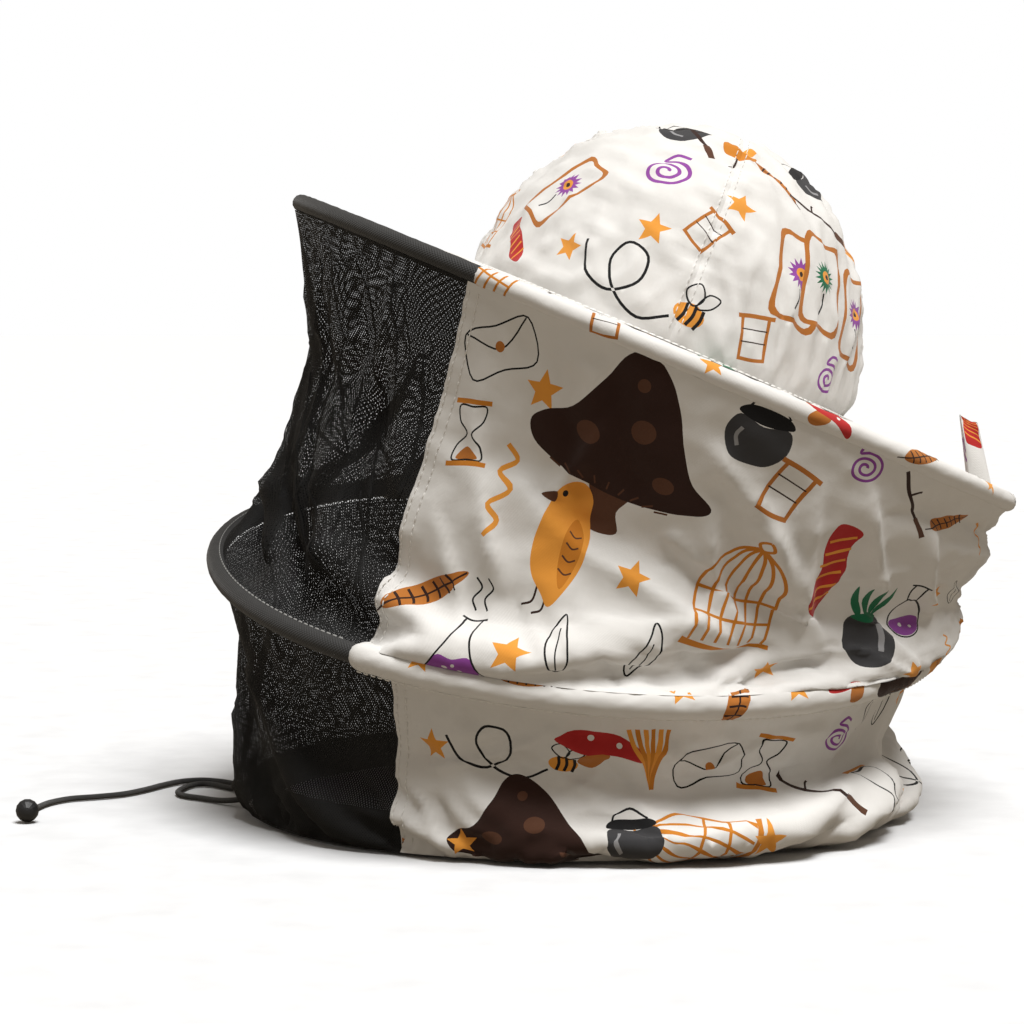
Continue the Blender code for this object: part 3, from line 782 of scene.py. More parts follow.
def hive_frame():
    rails = [stroke([(-11, 12), (0, 12.6), (11, 12)], 2.4), stroke([(-8, 12), (-8, -11)], 2.0),
             stroke([(8, 12), (8, -11)], 2.0), stroke([(-9, -11), (0, -11.5), (9, -11)], 2.0)]
    wires = [stroke([(-8, y), (8, y)], 0.7) for y in (5, -2)]
    return inked(TAN, *rails) + inked(BROWN, *wires)


def pennant():
    cloth = patch([(-7, 26), (0, 28), (8, 25), (6, 14), (9, 2), (7, -10), (2, -27), (-5, -22),
                   (-9, -12), (-5, 0), (-8, 12)])
    stripes = [stroke([(-6.5, y - 3), (0, y), (6.5, y + 3)], 1.5)
               for y in (19, 12, 5, -2, -9, -16)]
    return inked(RED, cloth) + inked(ORANGE, *stripes)


def spiral():
    turns = np.linspace(0.0, 2.3 * TAU, 30)
    line = np.stack([(1.2 + 0.75 * turns) * np.cos(turns), (1.2 + 0.6 * turns)
                     * np.sin(turns)], -1)
    tail = line[-1] + np.array([(4, 5), (11, 4)])
    return inked(PURPLE, stroke(np.vstack([line, tail]), 1.8))


def twig():
    return (inked(BROWN, stroke([(-16, 14), (-8, 7), (0, 1), (9, -6), (16, -14)], 2.2))
            + inked(UMBER, stroke([(9, -6), (13, -10), (18, -15)], 3.4))
            + inked(BROWN, stroke([(-4, 4), (-1, 8), (1, 9)], 1.2)))


def pot():
    body = patch([(-11, 5), (-14, -3), (-9, -12), (0, -14), (9, -12), (14, -3), (11, 5),
                  (0, 3)])
    rim = patch([(-12, 6), (0, 3.5), (12, 6), (9, 10), (0, 11), (-9, 10)])
    handle = stroke([(-9, 9), (-6, 15), (2, 17), (9, 10)], 1.0)
    shine = stroke([(-8, 0), (-9, -4), (-7, -8)], 1.6)
    return inked(CHARCOAL, body) + inked(BLACK, rim, handle) + inked(GREY, shine)


def plant():
    leaves = [patch([(x0, 8), (x0 - 2 + 0.5 * lean, 16), (lean * 1.2, 27), (x0 + 3 + 0.4 * lean,
                     15)]) for x0, lean in ((-4, -9), (0, -2), (3, 6), (5, 13))]
    jar = patch([(-8, 8), (-12, 0), (-14, -12), (-8, -23), (2, -25), (11, -21), (14, -10),
                 (11, 1), (7, 8), (0, 6)])
    band = patch([(-8, 8), (0, 5), (8, 8), (0, 11)])
    shine = stroke([(6, -16), (8, -8), (7, 0)], 3.0)
    return (inked(GREEN, *leaves) + inked(CHARCOAL, jar) + inked(GREEN, band)
            + inked(GREY, shine))


def wing_pair():
    wing = [(15, -10), (20, -4), (24, 6), (23, 16), (20, 21), (18, 15), (15, 6), (13, -2)]
    vein = stroke([(4, -7), (7, 3), (8, 13)], 0.6)
    lines = loop_line(wing, 0.8) + loop_line([(-x, y) for x, y in wing], 0.8)
    return inked(BLACK, *lines, vein + np.array((12, 0)),
                 vein * np.array((-1, 1)) - np.array((12, 0)))


def bee_trail():
    trail = stroke([(-32, 4), (-24, -8), (-10, -10), (0, 0), (-3, 12), (-14, 13), (-17, 2),
                    (-7, -9), (8, -13), (20, -5)], 1.3)
    body = circle(27, 0, 5.0, 1.5)
    bands = [stroke([(x, -4.6), (x + 0.8, 0), (x, 4.6)], 1.6) for x in (24, 28, 32)]
    wings = loop_line([(26, 4), (20, 9), (24, 14), (29, 9)], 0.8) + loop_line(
        [(28, 4), (30, 12), (36, 13), (34, 7)], 0.8)
    return inked(BLACK, trail) + inked(ORANGE, body) + inked(BLACK, *bands, *wings)


def red_cap():
    cap = patch([(-22, -2), (-12, 6), (4, 8), (18, 4), (22, -3), (8, -2), (-8, -5)])
    stalk = patch([(-4, -2), (-8, -12), (0, -14), (5, -3)])
    return (inked(TAN, stalk) + inked(RED, cap)
            + inked(PAPER, circle(-6, 3, 1.6), circle(8, 3, 1.4)))


def plume():
    blades = [stroke([(0, -20), (0.35 * x, -4), (x, 8 + 0.1 * x), (1.25 * x, 18 - 0.2 * abs(x))],
                     2.2) for x in (-8, -5, -2, 1, 4, 7)]
    return [(AMBER if k % 2 else ORANGE, b) for k, b in enumerate(blades)]


def envelope():
    sheet = loop_line([(-17, 8), (-17, -11), (0, -11), (17, -11), (17, 8), (0, 8)], 0.8)
    flap = stroke([(-16, 8), (0, -2), (16, 8)], 0.8)
    return inked(BLACK, *sheet, flap) + inked(TAN, circle(0, -1, 2.4))


def hourglass():
    sand = patch([(-6, -12), (0, -6), (6, -12), (0, -13)])
    glass = loop_line([(-8, 13), (0, 13), (8, 13), (7, 6), (1.5, 0), (7, -6), (8, -13), (0, -13),
                       (-8, -13), (-7, -6), (-1.5, 0), (-7, 6)], 0.9)
    ends = [stroke([(-11, y), (0, y + 0.3), (11, y)], 2.4) for y in (15, -15)]
    return inked(TAN, sand) + inked(BLACK, *glass) + inked(AMBER, *ends)


def framed_flower(petals=14, colour=PURPLE):
    def box(wide, tall):
        return patch([(-wide, -tall), (0, -tall * 1.02), (wide, -tall), (wide * 1.03, 0),
                      (wide, tall), (0, tall * 1.02), (-wide, tall), (-wide * 1.03, 0)])

    turns = np.arange(2 * petals) * TAU / (2 * petals)
    bloom = polar(np.where(np.arange(2 * petals) % 2 == 0, 8.4, 5.0), turns) + (0.0, 3.0)
    stem = stroke([(0, -5), (1, -10), (-1, -16)], 1.0)
    return (inked(TAN, box(14, 22)) + inked(PAPER, box(11.6, 19.6)) + inked(colour, bloom)
            + inked(BLACK, stem) + inked(ORANGE, circle(0, 3, 3.2))
            + inked(BROWN, circle(0, 3, 1.3)))


def framed_leaf():
    return framed_flower(18, GREEN)


def small_bird():
    body = patch([(-8, 2), (-3, 7), (4, 5), (9, 9), (8, 0), (2, -5), (-5, -4)])
    wing = patch([(-2, 3), (3, 12), (7, 12), (4, 2)])
    leg = stroke([(2, -4), (3, -10), (1, -13)], 1.0)
    return inked(AMBER, body) + inked(ORANGE, wing) + inked(BROWN, leg)


MOTIFS = [star, toadstool, songbird, cage, squiggle, feather, flask, round_flask, hive_frame,
          pennant, spiral, twig, pot, plant, wing_pair, bee_trail, red_cap, plume, envelope,
          hourglass, framed_flower, framed_leaf, small_bird]


def laid_out(places):
    """The motifs at (turn in degrees, share down, motif, size, lean in degrees)."""
    shapes = []
    for turn, down, motif, size, lean in places:
        c, s = math.cos(math.radians(lean)), math.sin(math.radians(lean))
        spin = np.array(((c, s), (-s, c))) * size * MM
        shapes += [(math.radians(turn), down, colour, points @ spin)
                   for colour, points in motif()]
    return shapes


def scattered(seed, first, last, rows, gap, small=0.85):
    """Motifs spread over the rest of a printed piece, from first to last degrees round it."""
    rng = random.Random(seed)
    places, k = [], 0
    for j, down in enumerate(rows):
        turn = first + 0.5 * gap * (j % 2)
        while turn < last:
            motif = star if k % 3 == 2 else MOTIFS[rng.randrange(1, len(MOTIFS))]
            size = small * (0.62 if motif is toadstool else 1.0)
            places.append((turn, down + rng.uniform(-0.05, 0.05), motif, size,
                           rng.uniform(-25.0, 25.0)))
            turn += gap * rng.uniform(0.85, 1.15)
            k += 1
    return places


# ---------------------------------------------------------------- printed cloth
def inside(points, outline):
    """Which points an outline holds."""
    x, y = points[:, 0], points[:, 1]
    odd = np.zeros(len(points), dtype=bool)
    x1, y1 = outline[-1]
    for x2, y2 in outline:
        crosses = (y1 > y) != (y2 > y)
        if y1 != y2:
            odd ^= crosses & (x < (x2 - x1) * (y - y1) / (y2 - y1) + x1)
        x1, y1 = x2, y2
    return odd


def in_box(points, outline):
    low, high = outline.min(axis=0), outline.max(axis=0)
    return (points > low).all(axis=1) & (points < high).all(axis=1)


def inked_plan(grid, shapes, spacing, borders=()):
    """A flat mesh of triangles whose edges follow every printed outline, and their inks.
    shapes are (colour, outline) in the order they are printed."""
    near = np.zeros(len(grid), dtype=bool)
    nearest, merged = 0.42 * spacing, 1e-6
    lines = [outline for _, outline in shapes]
    tree = kdtree.KDTree(sum(len(line) for line in lines) + 1)
    for k, point in enumerate(np.vstack(lines) if lines else []):
        tree.insert((point[0], point[1], 0.0), k)
    tree.balance()
    for k, point in enumerate(grid):
        if lines and tree.find((point[0], point[1], 0.0))[2] < nearest:
            near[k] = True
    for border in borders:
        near[border] = False
    index = np.cumsum(~near) - 1
    points = [Vector(p) for p in grid[~near]]
    edges = [(int(index[a]), int(index[b])) for border in borders
             for a, b in zip(border[:-1], border[1:])]
    for line in lines:
        start = len(points)
        points += [Vector(p) for p in line]
        edges += [(start + k, start + (k + 1) % len(line)) for k in range(len(line))]
    found = geometry.delaunay_2d_cdt(points, edges, [], 0, merged)
    vertices = np.array([tuple(v) for v in found[0]])
    faces = np.array([tuple(f) for f in found[2]])
    centres = vertices[faces].mean(axis=1)
    inks = np.tile(np.array(CLOTH_WHITE), (len(faces), 1))
    for colour, outline in shapes:
        close = np.flatnonzero(in_box(centres, outline))
        inks[close[inside(centres[close], outline)]] = colour
    return vertices, faces, centres, inks


def cloth_band(name, place, first, last, radius, height, spacing, places=(), material=COTTON):
    """Cloth laid round a ring from first to last degrees, printed at places. place turns its
    angles and shares down into points, radius and height say how big it is."""
    first, last = math.radians(first), math.radians(last)
    across = max(4, int((last - first) * radius / spacing))
    along = max(4, int(height / spacing))
    u, v = np.meshgrid(np.linspace(first, last, across + 1), np.linspace(0.0, 1.0, along + 1))
    grid = np.stack([u.ravel() * radius, v.ravel() * height], -1)
    shapes = []
    for turn, down, colour, outline in laid_out(places):
        flat = np.stack([(turn * radius + outline[:, 0]), (down * height - outline[:, 1])], -1)
        flat[:, 0] = np.clip(flat[:, 0], first * radius, last * radius)
        flat[:, 1] = np.clip(flat[:, 1], 0.0, height)
        if np.ptp(flat[:, 0]) > 1e-4 and np.ptp(flat[:, 1]) > 1e-4:
            shapes.append((colour, flat))
    width = across + 1
    borders = [np.arange(width), np.arange(width) + along * width,
               np.arange(along + 1) * width, np.arange(along + 1) * width + across]
    vertices, faces, _, inks = inked_plan(grid, shapes, spacing, borders)
    points = place(vertices[:, 0] / radius, vertices[:, 1] / height)
    return make_piece(name, points, faces[:, ::-1], material, vertices, inks)


# ---------------------------------------------------------------- sewing thread
def stitches(name, points, outward, material=THREAD_WHITE):
    """A row of stitches along points, lying on the cloth whose outward side is given."""
    length, gap, thick = 0.0026, 0.0011, 0.00022
    run = run_along(points)
    vertices, faces, flat = [], [], []
    for k in range(int(run[-1] / (length + gap))):
        ends = np.array([k * (length + gap), k * (length + gap) + length])
        a, b = (np.array([np.interp(e, run, points[:, i]) for i in range(3)]) for e in ends)
        n = np.array([np.interp(ends.mean(), run, outward[:, i]) for i in range(3)])
        n /= np.linalg.norm(n)
        side = np.cross(b - a, n)
        side *= thick / max(np.linalg.norm(side), 1e-9)
        start = len(vertices)
        for share, wide, high in ((0.0, 0.3, 0.2), (0.2, 1.0, 1.5), (0.8, 1.0, 1.5),
                                  (1.0, 0.3, 0.2)):
            p = a + (b - a) * share
            vertices += [p + side * x * wide + n * thick * z
                         for x, z in ((-1.0, -1.0), (-0.6, high), (0.6, high), (1.0, -1.0))]
            flat += [(p[0], p[2])] * 4
        faces += [tuple(start + q for q in face) for face in grid_faces(4, 4, False)]
    return make_piece(name, vertices, faces, material, flat)


# ---------------------------------------------------------------- walls
def follows_veil(piece):
    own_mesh(piece)


def follows_skirt(piece):
    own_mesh(piece)


def creased(surface, height, seed, lines):
    """A wall's points with its folds and small creases, and gathers along its sewn edges."""
    hem_reach, free_reach, seam_reach = 0.012, 0.008, 0.007

    def place(turn, down):
        turn, down = np.asarray(turn, float), np.asarray(down, float)
        x, y = (turn % TAU) * HOOP_RADIUS, down * height
        off_face = np.abs(np.degrees(turn) % 360.0 - 180.0)
        edge = np.exp(-down * height / hem_reach) + np.exp(-(1.0 - down) * height / hem_reach)
        free = np.clip(np.minimum(down, 1.0 - down) * height / free_reach, 0.0, 1.0)
        gathers = np.sin(x / 0.0021 + 2.2 * np.sin(x / 0.013)) * edge * 0.0005
        off_seam = np.abs(off_face - (NET_BRIM + (NET_HOOP - NET_BRIM) * down)
                          ) * HOOP_RADIUS * TAU / 360.0
        gathers = gathers + 0.0007 * np.sin(y / 0.0014 + 2.0 * np.sin(y / 0.007)) * np.exp(
            -off_seam / seam_reach)
        net = np.clip(1.0 - off_face / 62.0, 0.0, 0.1) * 10.0
        fine = (crumple(x, y, 0.0010, seed) + gathers) * (1.0 - 0.6 * net)
        depth = (fine + folds(x, y, lines)) * free
        return surface.at(turn, down) + surface.normal(turn, down) * depth[..., None]
    return place


def make_seam_stitches(which, body, place, seam):
    """Two rows of stitches down each seam between the netting and the cotton."""
    down, step = np.linspace(0.02, 0.98, 90), 0.002
    rows = []
    for side, name in ((1, "right"), (-1, "left")):
        for k, inset in enumerate((0.0016, 0.0062)):
            turn = seam(side, down) - side * inset / HOOP_RADIUS
            line = place(turn, down)
            across = place(turn + step, down) - place(turn - step, down)
            n = facing_out(np.cross(across, np.gradient(line, axis=0)), line)
            row = stitches(f"{which}_seam_stitches_{name}_{k + 1}", line + n * 0.0003, n)
            rows.append(worn(row, body, "white_cotton"))
    return rows


def make_wall_pieces(which, body, place, height, halves, net, follow, places, cut):
    """The cotton and the netting of one wall, sewn together. halves say how many degrees
    from the face the seams are at the wall's top and bottom, and cut is not used."""
    top, bottom = halves
    middle = math.radians(180.0 - 0.5 * (top + bottom))
    edge = math.degrees(middle)

    def seam(side, down):
        """The turn of a seam: side is 1 on the wearer's right, -1 on the left."""
        return math.pi - side * np.radians(top + (bottom - top) * down)

    def cotton_place(turn, down):
        """Slides the printed turns so that the piece ends on its slanting seams."""
        share = (turn + middle) / (2.0 * middle)
        start = seam(-1, down) - TAU
        return place(start + (seam(1, down) - start) * share, down)

    cotton_piece = cloth_band(which + "_cotton_wall", cotton_place, -edge, edge, HOOP_RADIUS,
                              height, PRINT_GRID, places)
    worn(cotton_piece, body, "white_cotton", which + "_cotton")
    columns = int((TAU - 2 * middle) * HOOP_RADIUS / NET_GRID)
    rows = int(height / NET_GRID)
    u, v = np.meshgrid(np.linspace(0.0, 1.0, columns), np.linspace(0.0, 1.0, rows))
    turn = (seam(1, v) + (seam(-1, v) - seam(1, v)) * u).ravel()
    flat = np.stack([turn * HOOP_RADIUS, v.ravel() * height], -1)
    faces = [tuple(reversed(f)) for f in grid_faces(rows, columns, False)]
    net_piece = make_piece(which + "_net_wall", place(turn, v.ravel()), faces, net, flat)
    worn(net_piece, body, "black_net", which + "_net")
    for piece in [cotton_piece, net_piece] + make_seam_stitches(which, body, place, seam):
        follow(piece)


# Where the motifs are: turn, share of the way down, motif, size, lean.
VEIL_PRINT = [
    (252, 0.19, star, 1.0, 6), (273, 0.61, star, 1.0, -8), (260, 0.90, star, 1.0, 4),
    (266, 0.25, toadstool, 0.95, -6), (261, 0.56, songbird, 1.0, 0), (250, 0.48, squiggle, 1.1,
    4), (244, 0.78, feather, 0.95, 14), (253, 0.93, flask, 0.9, 8), (290, 0.60, cage, 1.0, -4),
    (283, 0.08, pot, 1.05, 0), (290, 0.22, hive_frame, 1.0, -14), (303, 0.44, pennant, 0.95, 4),
    (300, 0.06, spiral, 0.85, 20), (312, 0.12, twig, 1.0, -8), (315, 0.66, plant, 1.05, 4),
    (325, 0.58, round_flask, 1.05, 4), (272, 0.88, wing_pair, 1.0, 4),
    (244, 0.12, envelope, 0.9, 30), (243, 0.36, hourglass, 0.8, 10),
    (298, 0.88, star, 0.9, 10),
]
SKIRT_PRINT = [
    (247, 0.34, star, 1.0, 6), (259, 0.34, bee_trail, 0.95, -6), (273, 0.24, red_cap, 1.0, -14),
    (281, 0.30, plume, 1.0, 6), (291, 0.34, envelope, 1.0, 12), (302, 0.36, hourglass, 1.0,
    -14), (262, 0.80, toadstool, 0.80, -4), (252, 0.86, star, 0.9, 8), (287, 0.84, cage, 0.85,
    70), (297, 0.80, star, 0.9, 0), (278, 0.78, pot, 0.9, 10), (311, 0.60, twig, 1.0, 0),
]
HOOP_PRINT = [
    (246, 0.30, star, 0.8, 0), (262, 0.30, feather, 0.7, -20),
    (283, 0.28, star, 0.9, 12), (292, 0.30, feather, 0.9, 50), (301, 0.30, star, 0.9, 0),
    (312, 0.30, red_cap, 0.8, 10), (322, 0.30, plant, 0.7, 0),
]
CROWN_PRINT = [
    (256, 0.88, bee_trail, 1.0, -10), (215, 0.70, framed_flower, 0.85, -20),
    (245, 0.52, spiral, 1.0, 10), (253, 0.72, star, 0.95, 8), (276, 0.53, star, 0.95, -8),
    (267, 0.30, small_bird, 0.95, -10), (294, 0.34, feather, 0.7, 110), (335, 0.26, pot, 0.9, 30),
    (303, 0.68, framed_flower, 0.95, -6), (314, 0.66, framed_leaf, 0.95, -6),
    (336, 0.72, framed_flower, 0.9, -14), (212, 0.90, pennant, 0.5, 50),
    (268, 0.66, hive_frame, 0.75, -30), (319, 0.44, twig, 1.0, 10), (225, 0.27, pot, 1.0, 80),
    (240, 0.30, twig, 0.9, 0), (232, 0.86, star, 0.8, 0), (292, 0.90, hive_frame, 0.8, 12),
    (322, 0.92, spiral, 0.7, 0), (180, 0.55, star, 0.9, 0), (190, 0.86, cage, 0.5, 0),
    (160, 0.75, songbird, 0.7, 20), (140, 0.48, star, 0.9, 0), (135, 0.85, framed_leaf, 0.8, 8),
    (112, 0.62, feather, 0.9, 30), (95, 0.88, bee_trail, 0.9, 0), (85, 0.50, star, 0.9, 0),
    (68, 0.72, plant, 0.7, 0), (45, 0.88, flask, 0.7, 10), (40, 0.50, spiral, 0.9, 0),
    (20, 0.72, star, 0.9, 0), (5, 0.88, round_flask, 0.8, 0), (355, 0.52, plume, 0.8, 0),
]


VEIL_FOLDS = [        # turn and share down where each starts and ends; bend, depth and width
    (250, 0.42, 268, 0.60, 2, 2.6, 9), (266, 0.58, 291, 0.76, -3, 2.4, 8),
    (262, 0.76, 286, 0.68, 3, 1.5, 6), (248, 0.84, 268, 0.78, 2, 1.2, 6),
    (282, 0.34, 292, 0.72, 4, 2.8, 7), (288, 0.30, 302, 0.58, -4, 2.2, 7),
    (244, 0.30, 252, 0.66, 3, 2.2, 7), (296, 0.20, 306, 0.74, 3, 2.8, 7),
    (304, 0.12, 318, 0.50, 4, 2.6, 7), (312, 0.55, 326, 0.90, -3, 2.2, 7),
    (270, 0.88, 296, 0.82, 2, 0.9, 5), (255, 0.70, 262, 0.90, 2, -1.2, 5),
    (276, 0.44, 284, 0.50, 1, 1.6, 4), (300, 0.80, 318, 0.76, -2, 1.4, 6),
    (240, 0.55, 250, 0.90, -3, 1.4, 6), (320, 0.20, 334, 0.60, 3, 3.0, 8),
    (200, 0.10, 212, 0.80, 5, 3.0, 9), (216, 0.20, 222, 0.92, -4, 3.0, 8),
    (188, 0.25, 205, 0.95, 6, 3.0, 9), (228, 0.10, 214, 0.70, 4, 2.6, 8),
    (291, 0.30, 304, 0.72, 2, 3.6, 10), (279, 0.16, 291, 0.30, 2, 2.4, 7),
    (160, 0.15, 176, 0.80, -5, 3.0, 9), (146, 0.20, 150, 0.85, 4, 2.6, 8),
    (172, 0.60, 196, 0.72, 4, 2.6, 7), (130, 0.30, 138, 0.80, 3, 2.6, 8),
]


SKIRT_FOLDS = [       # the roll of cloth low on the near side, and the hollow above it
    (258, 0.96, 298, 0.74, -4, 6.5, 10), (290, 0.76, 338, 0.58, -3, 9.0, 12),
    (280, 0.52, 318, 0.40, 3, -5.0, 9), (246, 0.14, 268, 0.34, 2, 2.2, 6),
    (266, 0.20, 292, 0.36, 2, 2.6, 7), (300, 0.14, 322, 0.30, -2, 2.8, 7),
    (318, 0.80, 345, 0.88, 2, 4.0, 8), (252, 0.60, 270, 0.66, 2, 2.4, 8),
]
NET_TUCKS = [         # where the netting is folded over on itself: turn and share down
    (217, 0.06, 222, 0.35, 228, 0.66, 232, 0.94), (212, 0.60, 219, 0.73, 226, 0.86, 231, 0.97),
    (234, 0.20, 235.5, 0.36, 235.5, 0.50, 234, 0.62), (224, 0.60, 227, 0.68, 230, 0.77, 232.5,
    0.86), (204, 0.10, 207, 0.36, 209, 0.58, 206, 0.80), (196, 0.40, 203, 0.56, 209, 0.70, 216,
    0.86), (160, 0.08, 157, 0.40, 150, 0.70, 146, 0.95), (172, 0.30, 166, 0.50, 158, 0.64, 148,
    0.74), (138, 0.15, 136, 0.42, 134, 0.66, 130, 0.90), (184, 0.55, 180, 0.68, 178, 0.80, 172,
    0.93), (226, 0.05, 228, 0.20, 229, 0.32, 228, 0.45),
]


def make_net_tucks(place):
    """Narrow folds of doubled netting that lie on the outside of the veil."""
    vertices, faces, flat = [], [], []
    for line in NET_TUCKS:
        points = smooth_line(np.array(line, dtype=float).reshape(-1, 2), per=14)
        turn, down = np.radians(points[:, 0]), points[:, 1]
        run = np.linspace(-1.0, 1.0, len(points))
        half = 0.0011 * np.sqrt(np.clip(1.0 - run ** 4, 0.02, 1.0))
        heading = np.stack([np.gradient(turn) * HOOP_RADIUS, np.gradient(down) * VEIL_TALL], -1)
        heading /= np.linalg.norm(heading, axis=1, keepdims=True)
        start = len(vertices)
        for side, lift in ((-1.0, 0.0001), (0.0, 0.0007), (1.0, 0.0001)):
            t = turn - side * half * heading[:, 1] / HOOP_RADIUS
            v = down + side * half * heading[:, 0] / VEIL_TALL
            p, ahead, below = place(t, v), place(t + 0.003, v), place(t, v + 0.01)
            n = facing_out(np.cross(ahead - p, below - p), p)
            vertices += list(p + n * lift)
            flat += list(zip(t * HOOP_RADIUS, v * VEIL_TALL))
        faces += [tuple(start + q for q in face) for face in grid_faces(3, len(points), False)]
    tucks = make_piece("veil_net_tucks", vertices, faces, NET_DOUBLE, flat)
    follows_veil(worn(tucks, "hoop", "black_net"))


def drawn_folds(table, tall, deeper):
    """A wall's own folds, in metres on the flat cloth."""
    return [(math.radians(t0) * HOOP_RADIUS, v0 * tall, math.radians(t1) * HOOP_RADIUS,
             v1 * tall, bend * MM, deeper * depth * MM, wide * MM)
            for t0, v0, t1, v1, bend, depth, wide in table]


def before_back(places):
    """Places on the near side, with their turns counted back from the middle of the rear."""
    return [(turn - 360.0, *rest) for turn, *rest in places]


def make_fabric_walls():
    veil, skirt, veil_cut, skirt_cut = make_walls()
    all_round = (0.0, TAU * HOOP_RADIUS)
    veil_lines = drawn_folds(VEIL_FOLDS, VEIL_TALL, 1.9) + random_folds(
        51, 70, all_round, (0.10 * VEIL_TALL, 0.95 * VEIL_TALL), (12.0, 38.0), 0.0026)
    skirt_lines = drawn_folds(SKIRT_FOLDS, SKIRT_TALL, 0.6) + random_folds(
        52, 90, all_round, (0.08 * SKIRT_TALL, 0.95 * SKIRT_TALL), (4.0, 30.0), 0.0022)
    veil_place = creased(veil, VEIL_TALL, 3, veil_lines)
    skirt_place = creased(skirt, SKIRT_TALL, 4, skirt_lines)
    make_wall_pieces("veil", "hoop", veil_place, VEIL_TALL, (NET_BRIM, NET_HOOP), NET,
                     follows_veil, before_back(VEIL_PRINT)
                     + scattered(22, -36, 118, (0.16, 0.5, 0.84), 14), veil_cut)
    make_net_tucks(veil_place)
    make_wall_pieces("skirt", "skirt", skirt_place, SKIRT_TALL, (NET_HEM, NET_HEM),
                     NET_GATHERED, follows_skirt, before_back(SKIRT_PRINT)
                     + scattered(23, -42, 116, (0.25, 0.72), 13), skirt_cut)


# ---------------------------------------------------------------- wired casings and the hem
def casing_place(ring, radius, thick, first, last, seed, pucker, close_ends):
    """A soft tube sewn round a wire, wrinkled across its length. Its ends may be closed."""
    first, last = math.radians(first), math.radians(last)

    def place(turn, round_it):
        around_it = math.pi - TAU * round_it
        x, y = (turn % TAU) * radius, round_it * TAU * thick
        wave = crumple(x, y * 3.0, 1.0, seed, 0.008, 0.035) - 0.5
        size = thick * (1.0 + pucker * np.clip(wave, -1.5, 1.2) * (0.4 + 0.6 * np.abs(
            np.sin(0.5 * around_it))))
        if close_ends:
            near_end = np.minimum(turn - first, last - turn) * radius / (1.2 * thick)
            size = size * np.sqrt(np.clip(1.0 - (1.0 - np.clip(near_end, 0.0, 1.0)) ** 2,
                                          0.02, 1.0))
        out = radius + size * np.cos(around_it)
        return placed(ring, np.stack([out * np.cos(turn), out * np.sin(turn),
                                      size * np.sin(around_it)], -1))
    return place


def hem_place(seed, gather):
    """The hem: a flattened tube of cloth, gathered where the elastic draws it in."""
    wide, tall, ground = HEM_WIDTH, HEM_HEIGHT, 0.0003

    def place(turn, round_it):
        angle = math.pi - TAU * round_it
        c, s = np.cos(angle), np.sin(angle)
        out = 0.5 * wide * np.sign(c) * np.abs(c) ** 0.7
        up = 0.5 * tall * np.sign(s) * np.abs(s) ** 0.8
        x = (turn % TAU) * HEM_RADIUS
        puckers = crumple(x, up, 1.0, seed, 0.007, 0.024) - 0.5
        out = out + gather * np.clip(puckers, -1.6, 1.4) * (1.2 - np.abs(up) / tall) * (c > -0.3)
        up = up + 2 * ground + 0.5 * tall
        radius = HEM_RADIUS + out
        return np.stack([HEM_CENTRE.x + radius * np.cos(turn), radius * np.sin(turn),
                         np.maximum(up, ground)], -1)
    return place


def ring_stitches(name, ring, radius, lift, first, last, out, material=THREAD_WHITE):
    """Stitches round a ring. out is the way they face: outwards and up."""
    turns = np.radians(np.arange(first, last, 0.5))
    points = ring_points(ring, radius, lift, turns)
    local = np.column_stack([polar(out[0], turns), out[1] + 0.0 * turns])
    return stitches(name, points, placed(ring, local, True), material)


def make_wired_casings():
    """The casings of the lower hoop and the brim: cotton behind, black binding in front. Each
    binding's ends go inside the cotton's."""
    for place_name, body, ring, radius, thick, girth, last, seed, pucker, places in (
            ("hoop", "hoop", HOOP, HOOP_RADIUS, 0.0068, 0.0068, 126, 8, 0.12,
             before_back(HOOP_PRINT) + scattered(31, -36, 122, (0.3,), 13)),
            ("hoop", "hoop", HOOP, HOOP_RADIUS, 0.0047, 0.0047, 238, 9, 0.05, None),
            ("brim", "hat", HAT, BRIM_RADIUS, 0.0046, 0.0046, 120, 10, 0.10,
             scattered(32, -118, 118, (0.35,), 17, 0.7)),
            ("brim", "hat", HAT, BRIM_RADIUS, 0.0041, 0.0044, 243, 12, 0.06, None)):
        cotton_one = places is not None
        kind, slot = ("cotton", "white_cotton") if cotton_one else ("net", "black_net")
        first = -last if cotton_one else 360 - last
        place = casing_place(ring, radius, thick, first, last, seed, pucker, cotton_one)
        casing = cloth_band(f"{place_name}_{kind}_casing", place, first, last, radius,
                            TAU * girth, CASING_GRID, places or (),
                            COTTON if cotton_one else BINDING)
        worn(casing, body, slot, f"{place_name}_casing_{kind}")


def make_hem():
    girth = 0.042
    cotton_part = cloth_band("hem_cotton_casing", hem_place(13, 0.0016), -120, 120, HEM_RADIUS,
                             girth, 0.0020, scattered(33, -118, 118, (0.36,), 15, 0.8))
    worn(cotton_part, "skirt", "white_cotton", "hem_casing_cotton")
    net_part = cloth_band("hem_net_casing", hem_place(14, 0.0014), 120, 240, HEM_RADIUS, girth,
                          0.0022, material=NET_DOUBLE)
    worn(net_part, "skirt", "black_net", "hem_casing_net")


